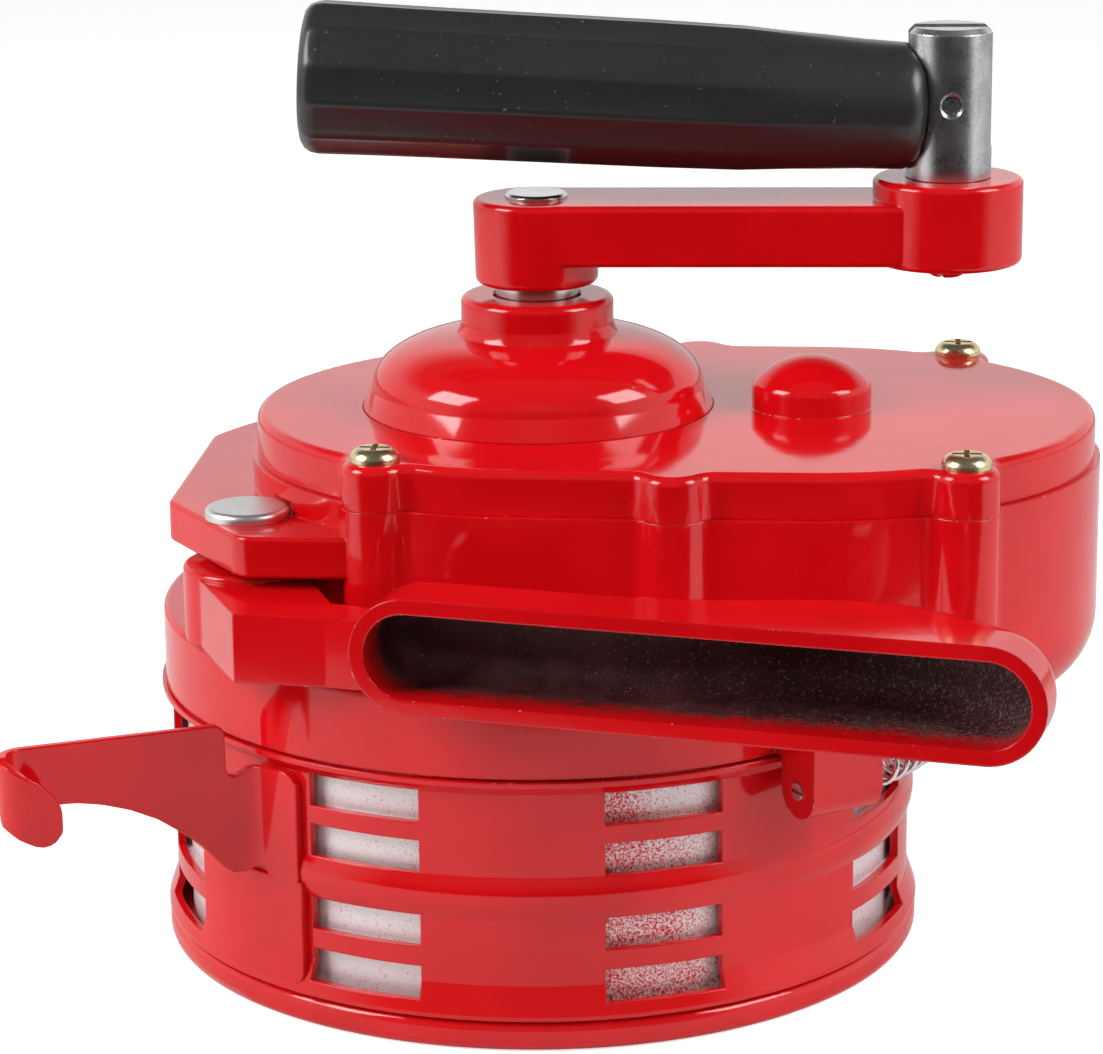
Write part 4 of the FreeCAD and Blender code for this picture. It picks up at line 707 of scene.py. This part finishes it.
def grip_frame():
    """The grip's axes at rest: across, up and out from the fold pin, and the pin's place."""
    fold = next(joint for joint in frame["joints"] if joint["name"] == "grip_fold")
    slide = next(joint for joint in frame["joints"] if joint["name"] == "grip_slide")
    across = Vector(fold["axis"]).normalized()
    out = Vector(slide["axis"]).normalized()
    return across, across.cross(out), out, Vector(fold["pos_m"])


def flute_fade(along):
    """1 where the flutes are full, falling to 0 towards the post and over the end's rounding."""
    if along < END_ROUND_FROM:
        return max(0.0, min(1.0, (along - FLUTES_START) / (FLUTES_FULL - FLUTES_START)))
    return max(0.0, (FLUTES_END - along) / (FLUTES_END - END_ROUND_FROM))


def place_in_flute(point, sides):
    """Which of a flute's steps a point is on, 0 on the ridges."""
    step = math.atan2(point.y, point.x) / math.tau * sides
    return round(step % STEPS_PER_FLUTE) % STEPS_PER_FLUTE


def fluted_grip():
    """The moulded grip, with shallow flutes that fade towards the post, bored for its rod."""
    sides = FLUTES * STEPS_PER_FLUTE
    piece = turned("fluted_grip", [(radius, along) for along, radius in GRIP_PROFILE], sides)
    edit(piece)
    for along, radius in GRIP_PROFILE:
        fade = flute_fade(along)
        if fade <= 0.0:
            continue
        for place in range(1, STEPS_PER_FLUTE):
            pick(piece, lambda p: abs(p.z - along * MM) < 0.05 * MM and place_in_flute(p, sides) == place)
            hollow = math.sin(math.pi * place / STEPS_PER_FLUTE) ** FLUTE_SHARPNESS
            share = 1 - FLUTE_DEPTH * fade * hollow / radius
            bpy.ops.transform.resize(value=(share, share, 1.0), center_override=(0.0, 0.0, along * MM))
    close_edit()
    across, up, out, pin = grip_frame()
    axis = Matrix.Translation(pin - up * GRIP_DROP * MM) @ Matrix((across, up, out)).transposed().to_4x4()
    bore = turned("bore", [(ROD_BORE_R, 0.0), (ROD_BORE_R, ROD_BORE_L)], 32)
    mouth = box_between("mouth", (-MOUTH_W / 2, GRIP_DROP - MOUTH_H / 2, -2.0),
                        (MOUTH_W / 2, GRIP_DROP + MOUTH_H / 2, MOUTH_DEPTH))
    saddle = turned("saddle", [(SADDLE_R, -SADDLE_REACH), (SADDLE_R, SADDLE_REACH)], 64)
    put_at(piece, axis @ Matrix.Rotation(FLUTE_PHASE, 4, "Z"))
    put_at(bore, axis)
    put_at(mouth, axis)
    put_at(saddle, Matrix.Translation(pin))
    for cutter in (bore, mouth, saddle):
        face_out(cutter)
        cut_away(piece, cutter)
    return piece


# ---- the return spring ----
WIRE_R = 0.55
COIL_R = 3.65
COIL_CENTRE_R = 82.3
COIL_Z = 48.0
COIL_FROM_DEG = -36.2
COIL_TO_DEG = 0.6
COIL_TURNS = 15
STEPS_PER_TURN = 28
EASE_STEPS = 16
# angle round the drum, reach from its axis, height
LEG = ((-38.6, COIL_CENTRE_R, 49.2), (-37.6, COIL_CENTRE_R, 49.6))
HOOK = ((2.2, 83.0, 47.6), (3.6, 81.2, 47.2), (4.6, 78.6, 47.2), (4.3, 76.3, 47.4), (3.2, 75.8, 47.8))


def coil_spring():
    """The wire spring round the band: a leg in the lug, close even turns and a hook in the bracket."""
    points = [(*polar(radius, degrees), height) for degrees, radius, height in LEG]
    steps = COIL_TURNS * STEPS_PER_TURN
    for k in range(steps + 1):
        along = COIL_FROM_DEG + (COIL_TO_DEG - COIL_FROM_DEG) * k / steps
        turn = math.tau * COIL_TURNS * k / steps
        ease = min(1.0, k / EASE_STEPS, (steps - k) / EASE_STEPS)
        reach = COIL_R * (0.45 + 0.55 * ease)
        spot = polar(COIL_CENTRE_R + reach * math.cos(turn), along)
        points.append((spot.x, spot.y, COIL_Z + reach * math.sin(turn)))
    points += [(*polar(radius, degrees), height) for degrees, radius, height in HOOK]
    data = bpy.data.curves.new("coil_spring", "CURVE")
    data.dimensions = "3D"
    data.bevel_depth = WIRE_R * MM
    data.bevel_resolution = 2
    data.use_fill_caps = True
    line = data.splines.new("POLY")
    line.points.add(len(points) - 1)
    for point, (x, y, z) in zip(line.points, points):
        point.co = (x * MM, y * MM, z * MM, 1.0)
    piece = bpy.data.objects.new("coil_spring", data)
    bpy.context.collection.objects.link(piece)
    make_active(piece)
    bpy.ops.object.convert(target="MESH")
    return bpy.context.object


def add_spring(material):
    """The spring stretches between the housing's lug and the shutter's bracket."""
    piece = coil_spring()
    finish_piece(piece, material, "return_spring", None, 60.0)
    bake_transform(piece)


# ---- scene: floor, light and camera ----
def add_camera():
    camera = bpy.data.objects.new("camera", bpy.data.cameras.new("camera"))
    camera.data.sensor_width = SENSOR
    camera.data.lens = LENS
    camera.data.clip_end = 50.0
    turn = Matrix.Rotation(CAMERA_HEADING, 4, "Z") @ Matrix.Rotation(math.pi / 2 - CAMERA_PITCH, 4, "X")
    turn = turn @ Matrix.Rotation(CAMERA_ROLL, 4, "Z")
    camera.matrix_world = Matrix.Translation(CAMERA_PLACE) @ turn
    bpy.context.collection.objects.link(camera)
    bpy.context.scene.camera = camera


def softbox(name, place, width, height, power):
    lamp = bpy.data.lights.new(name, "AREA")
    lamp.shape = "RECTANGLE"
    lamp.size = width
    lamp.size_y = height
    lamp.energy = power
    box = bpy.data.objects.new(name, lamp)
    aim = (Vector((0.0, 0.0, 0.09)) - Vector(place)).to_track_quat("-Z", "Y")
    box.matrix_world = Matrix.Translation(place) @ aim.to_matrix().to_4x4()
    box.visible_camera = False
    bpy.context.collection.objects.link(box)


def studio_world():
    """A white sweep behind and beside the siren and a dim room in front. The camera sees it white."""
    world = bpy.data.worlds.new("studio")
    world.use_nodes = True
    nodes = Nodes(world.node_tree)
    sky = world.node_tree.nodes["Background"]
    view = nodes.put("TexCoord").outputs["Generated"]
    parts = nodes.put("SeparateXYZ", Vector=view).outputs
    level = nodes.put("CombineXYZ", X=parts["X"], Y=parts["Y"]).outputs["Vector"]
    level = nodes.put("VectorMath", {"operation": "NORMALIZE"}, Vector=level).outputs["Vector"]
    toward = nodes.put("VectorMath", {"operation": "DOT_PRODUCT"})
    world.node_tree.links.new(level, toward.inputs[0])
    toward.inputs[1].default_value = (0.087, -0.996, 0.0)
    front = nodes.step(toward.outputs["Value"], 0.42, 0.68)
    high = nodes.step(parts["Z"], 0.42, 0.64)
    sweep = nodes.mix(high, (SWEEP, SWEEP, SWEEP, 1.0), (ZENITH, ZENITH, ZENITH, 1.0))
    room = nodes.mix(nodes.step(parts["Z"], -0.02, 0.30), (ROOM_LOW, ROOM_LOW, ROOM_LOW, 1.0),
                     (ROOM_HIGH, ROOM_HIGH, ROOM_HIGH, 1.0))
    room = nodes.mix(high, room, (ZENITH, ZENITH, ZENITH, 1.0))
    seen = nodes.put("LightPath").outputs["Is Camera Ray"]
    light = nodes.mix(seen, nodes.mix(front, sweep, room), (1.0, 1.0, 1.0, 1.0))
    nodes.feed(sky.inputs["Color"], light)
    bpy.context.scene.world = world


def add_light():
    softbox("key_left", (-0.80, -0.36, 0.72), 0.50, 0.50, 8.5)
    softbox("key_right", (0.82, -0.22, 0.74), 0.46, 0.50, 6.5)
    softbox("fill", (0.10, -1.30, 0.95), 0.9, 0.7, 4.5)
    bpy.data.objects["fill"].visible_glossy = False
    studio_world()
    bpy.context.scene.view_settings.view_transform = "Standard"


def floor_sheet(name, y0, y1, finish):
    deselect()
    bpy.ops.mesh.primitive_plane_add(size=1.0)
    sheet = bpy.context.object
    sheet.name = name
    bpy.ops.transform.resize(value=(2 * FLOOR_REACH, y1 - y0, 1.0))
    bpy.ops.transform.translate(value=(0.0, (y0 + y1) / 2, 0.0))
    bpy.ops.object.transform_apply(location=True, rotation=True, scale=True)
    sheet.data.materials.append(finish.material)
    return sheet


def add_floor():
    """The pale floor. Its part in front of the table's edge lights and mirrors nothing, as a room would."""
    finish = Finish("pale_floor", Roughness=0.6)
    tone = finish.noise(finish.place, 3.0)
    finish.set("Base Color", finish.mix(tone, (0.82, 0.82, 0.82, 1.0), (0.86, 0.86, 0.86, 1.0)))
    finish.set("Emission Color", (1.0, 1.0, 1.0, 1.0))
    seen = finish.put("LightPath").outputs["Is Camera Ray"]
    finish.set("Emission Strength", finish.math("MULTIPLY", seen, 0.6))
    floor_sheet("floor", TABLE_EDGE, FLOOR_REACH, finish)
    front = floor_sheet("floor_front", -FLOOR_REACH, TABLE_EDGE, finish)
    front.visible_glossy = False
    front.visible_diffuse = False


# ---- the siren ----
cast_enamel = enamel("cast_enamel").material
sheet_enamel = enamel("sheet_enamel", peel=520.0, wave=55.0, relief=0.016 * MM, edge=0.35 * MM).material
channel_red_painted_shade = channel_enamel_painted_shade("channel_enamel_painted_shade").material
drum_metal = bare_drum()
zinc = plated("bright_zinc", (0.42, 0.43, 0.44, 1.0), (0.82, 0.83, 0.85, 1.0), (0.16, 0.42))
yellow = plated("yellow_zinc", (0.55, 0.42, 0.20, 1.0), (0.86, 0.76, 0.50, 1.0), (0.14, 0.36))
ground = plated("ground_steel", (0.48, 0.47, 0.47, 1.0), (0.78, 0.77, 0.77, 1.0), (0.12, 0.30))
satin = plated("satin_aluminium", (0.62, 0.61, 0.62, 1.0), (0.84, 0.83, 0.84, 1.0), (0.28, 0.46))
geared = plated("oiled_steel", (0.22, 0.21, 0.20, 1.0), (0.42, 0.41, 0.40, 1.0), (0.2, 0.4))
wire = plated("spring_wire", (0.55, 0.55, 0.57, 1.0), (0.85, 0.85, 0.87, 1.0), (0.12, 0.28))
bronze = plated("oiled_bronze", (0.42, 0.26, 0.12, 1.0), (0.66, 0.46, 0.24, 1.0), (0.28, 0.5))
black = black_moulding()

FINISHES = {
    cast_enamel: ("base_plate", "main_housing"),
    channel_red_painted_shade: ("carry_handle",),
    sheet_enamel: ("shutter_band", "spring_bracket", "post_screw"),
    drum_metal: ("stator", "rotor"),
    zinc: ("drum_screws", "spring_anchor_screw", "rotor_nut", "grip_post", "fold_pin", "grip_tongue"),
    yellow: ("cover_screws",),
    ground: ("dowel_pins", "crank_bearings", "bearing_spacer", "rotor_bearings", "countershaft", "rotor_shaft"),
    satin: ("handle_rivet",),
    geared: ("crank_gear", "counter_gear", "counter_pinion", "rotor_pinion"),
    wire: ("crank_retaining_ring",),
    bronze: ("countershaft_bushes",),
}
for material, nodes_in_it in FINISHES.items():
    for node in nodes_in_it:
        cover_of(node, material)

# ---- pieces in place of their CAD nodes ----
finish_piece(cover_casting(), cast_enamel, "gear_case_cover", "root")
crank_casting = raised("crank_arm", "crank_casting", *HUB_FOOT)
finish_piece(crank_casting, cast_enamel, "crank_arm", "crank")
crank_spindle = raised("crank_shaft", "crank_spindle", *SPINDLE_COLLAR)
finish_piece(crank_spindle, ground, "crank_shaft", "crank")
finish_piece(finger_lever(), sheet_enamel, "trigger_lever", "shutter")
finish_piece(fluted_grip(), black, "grip", "grip", 60.0)
add_spring(wire)

add_floor()
add_light()
add_camera()
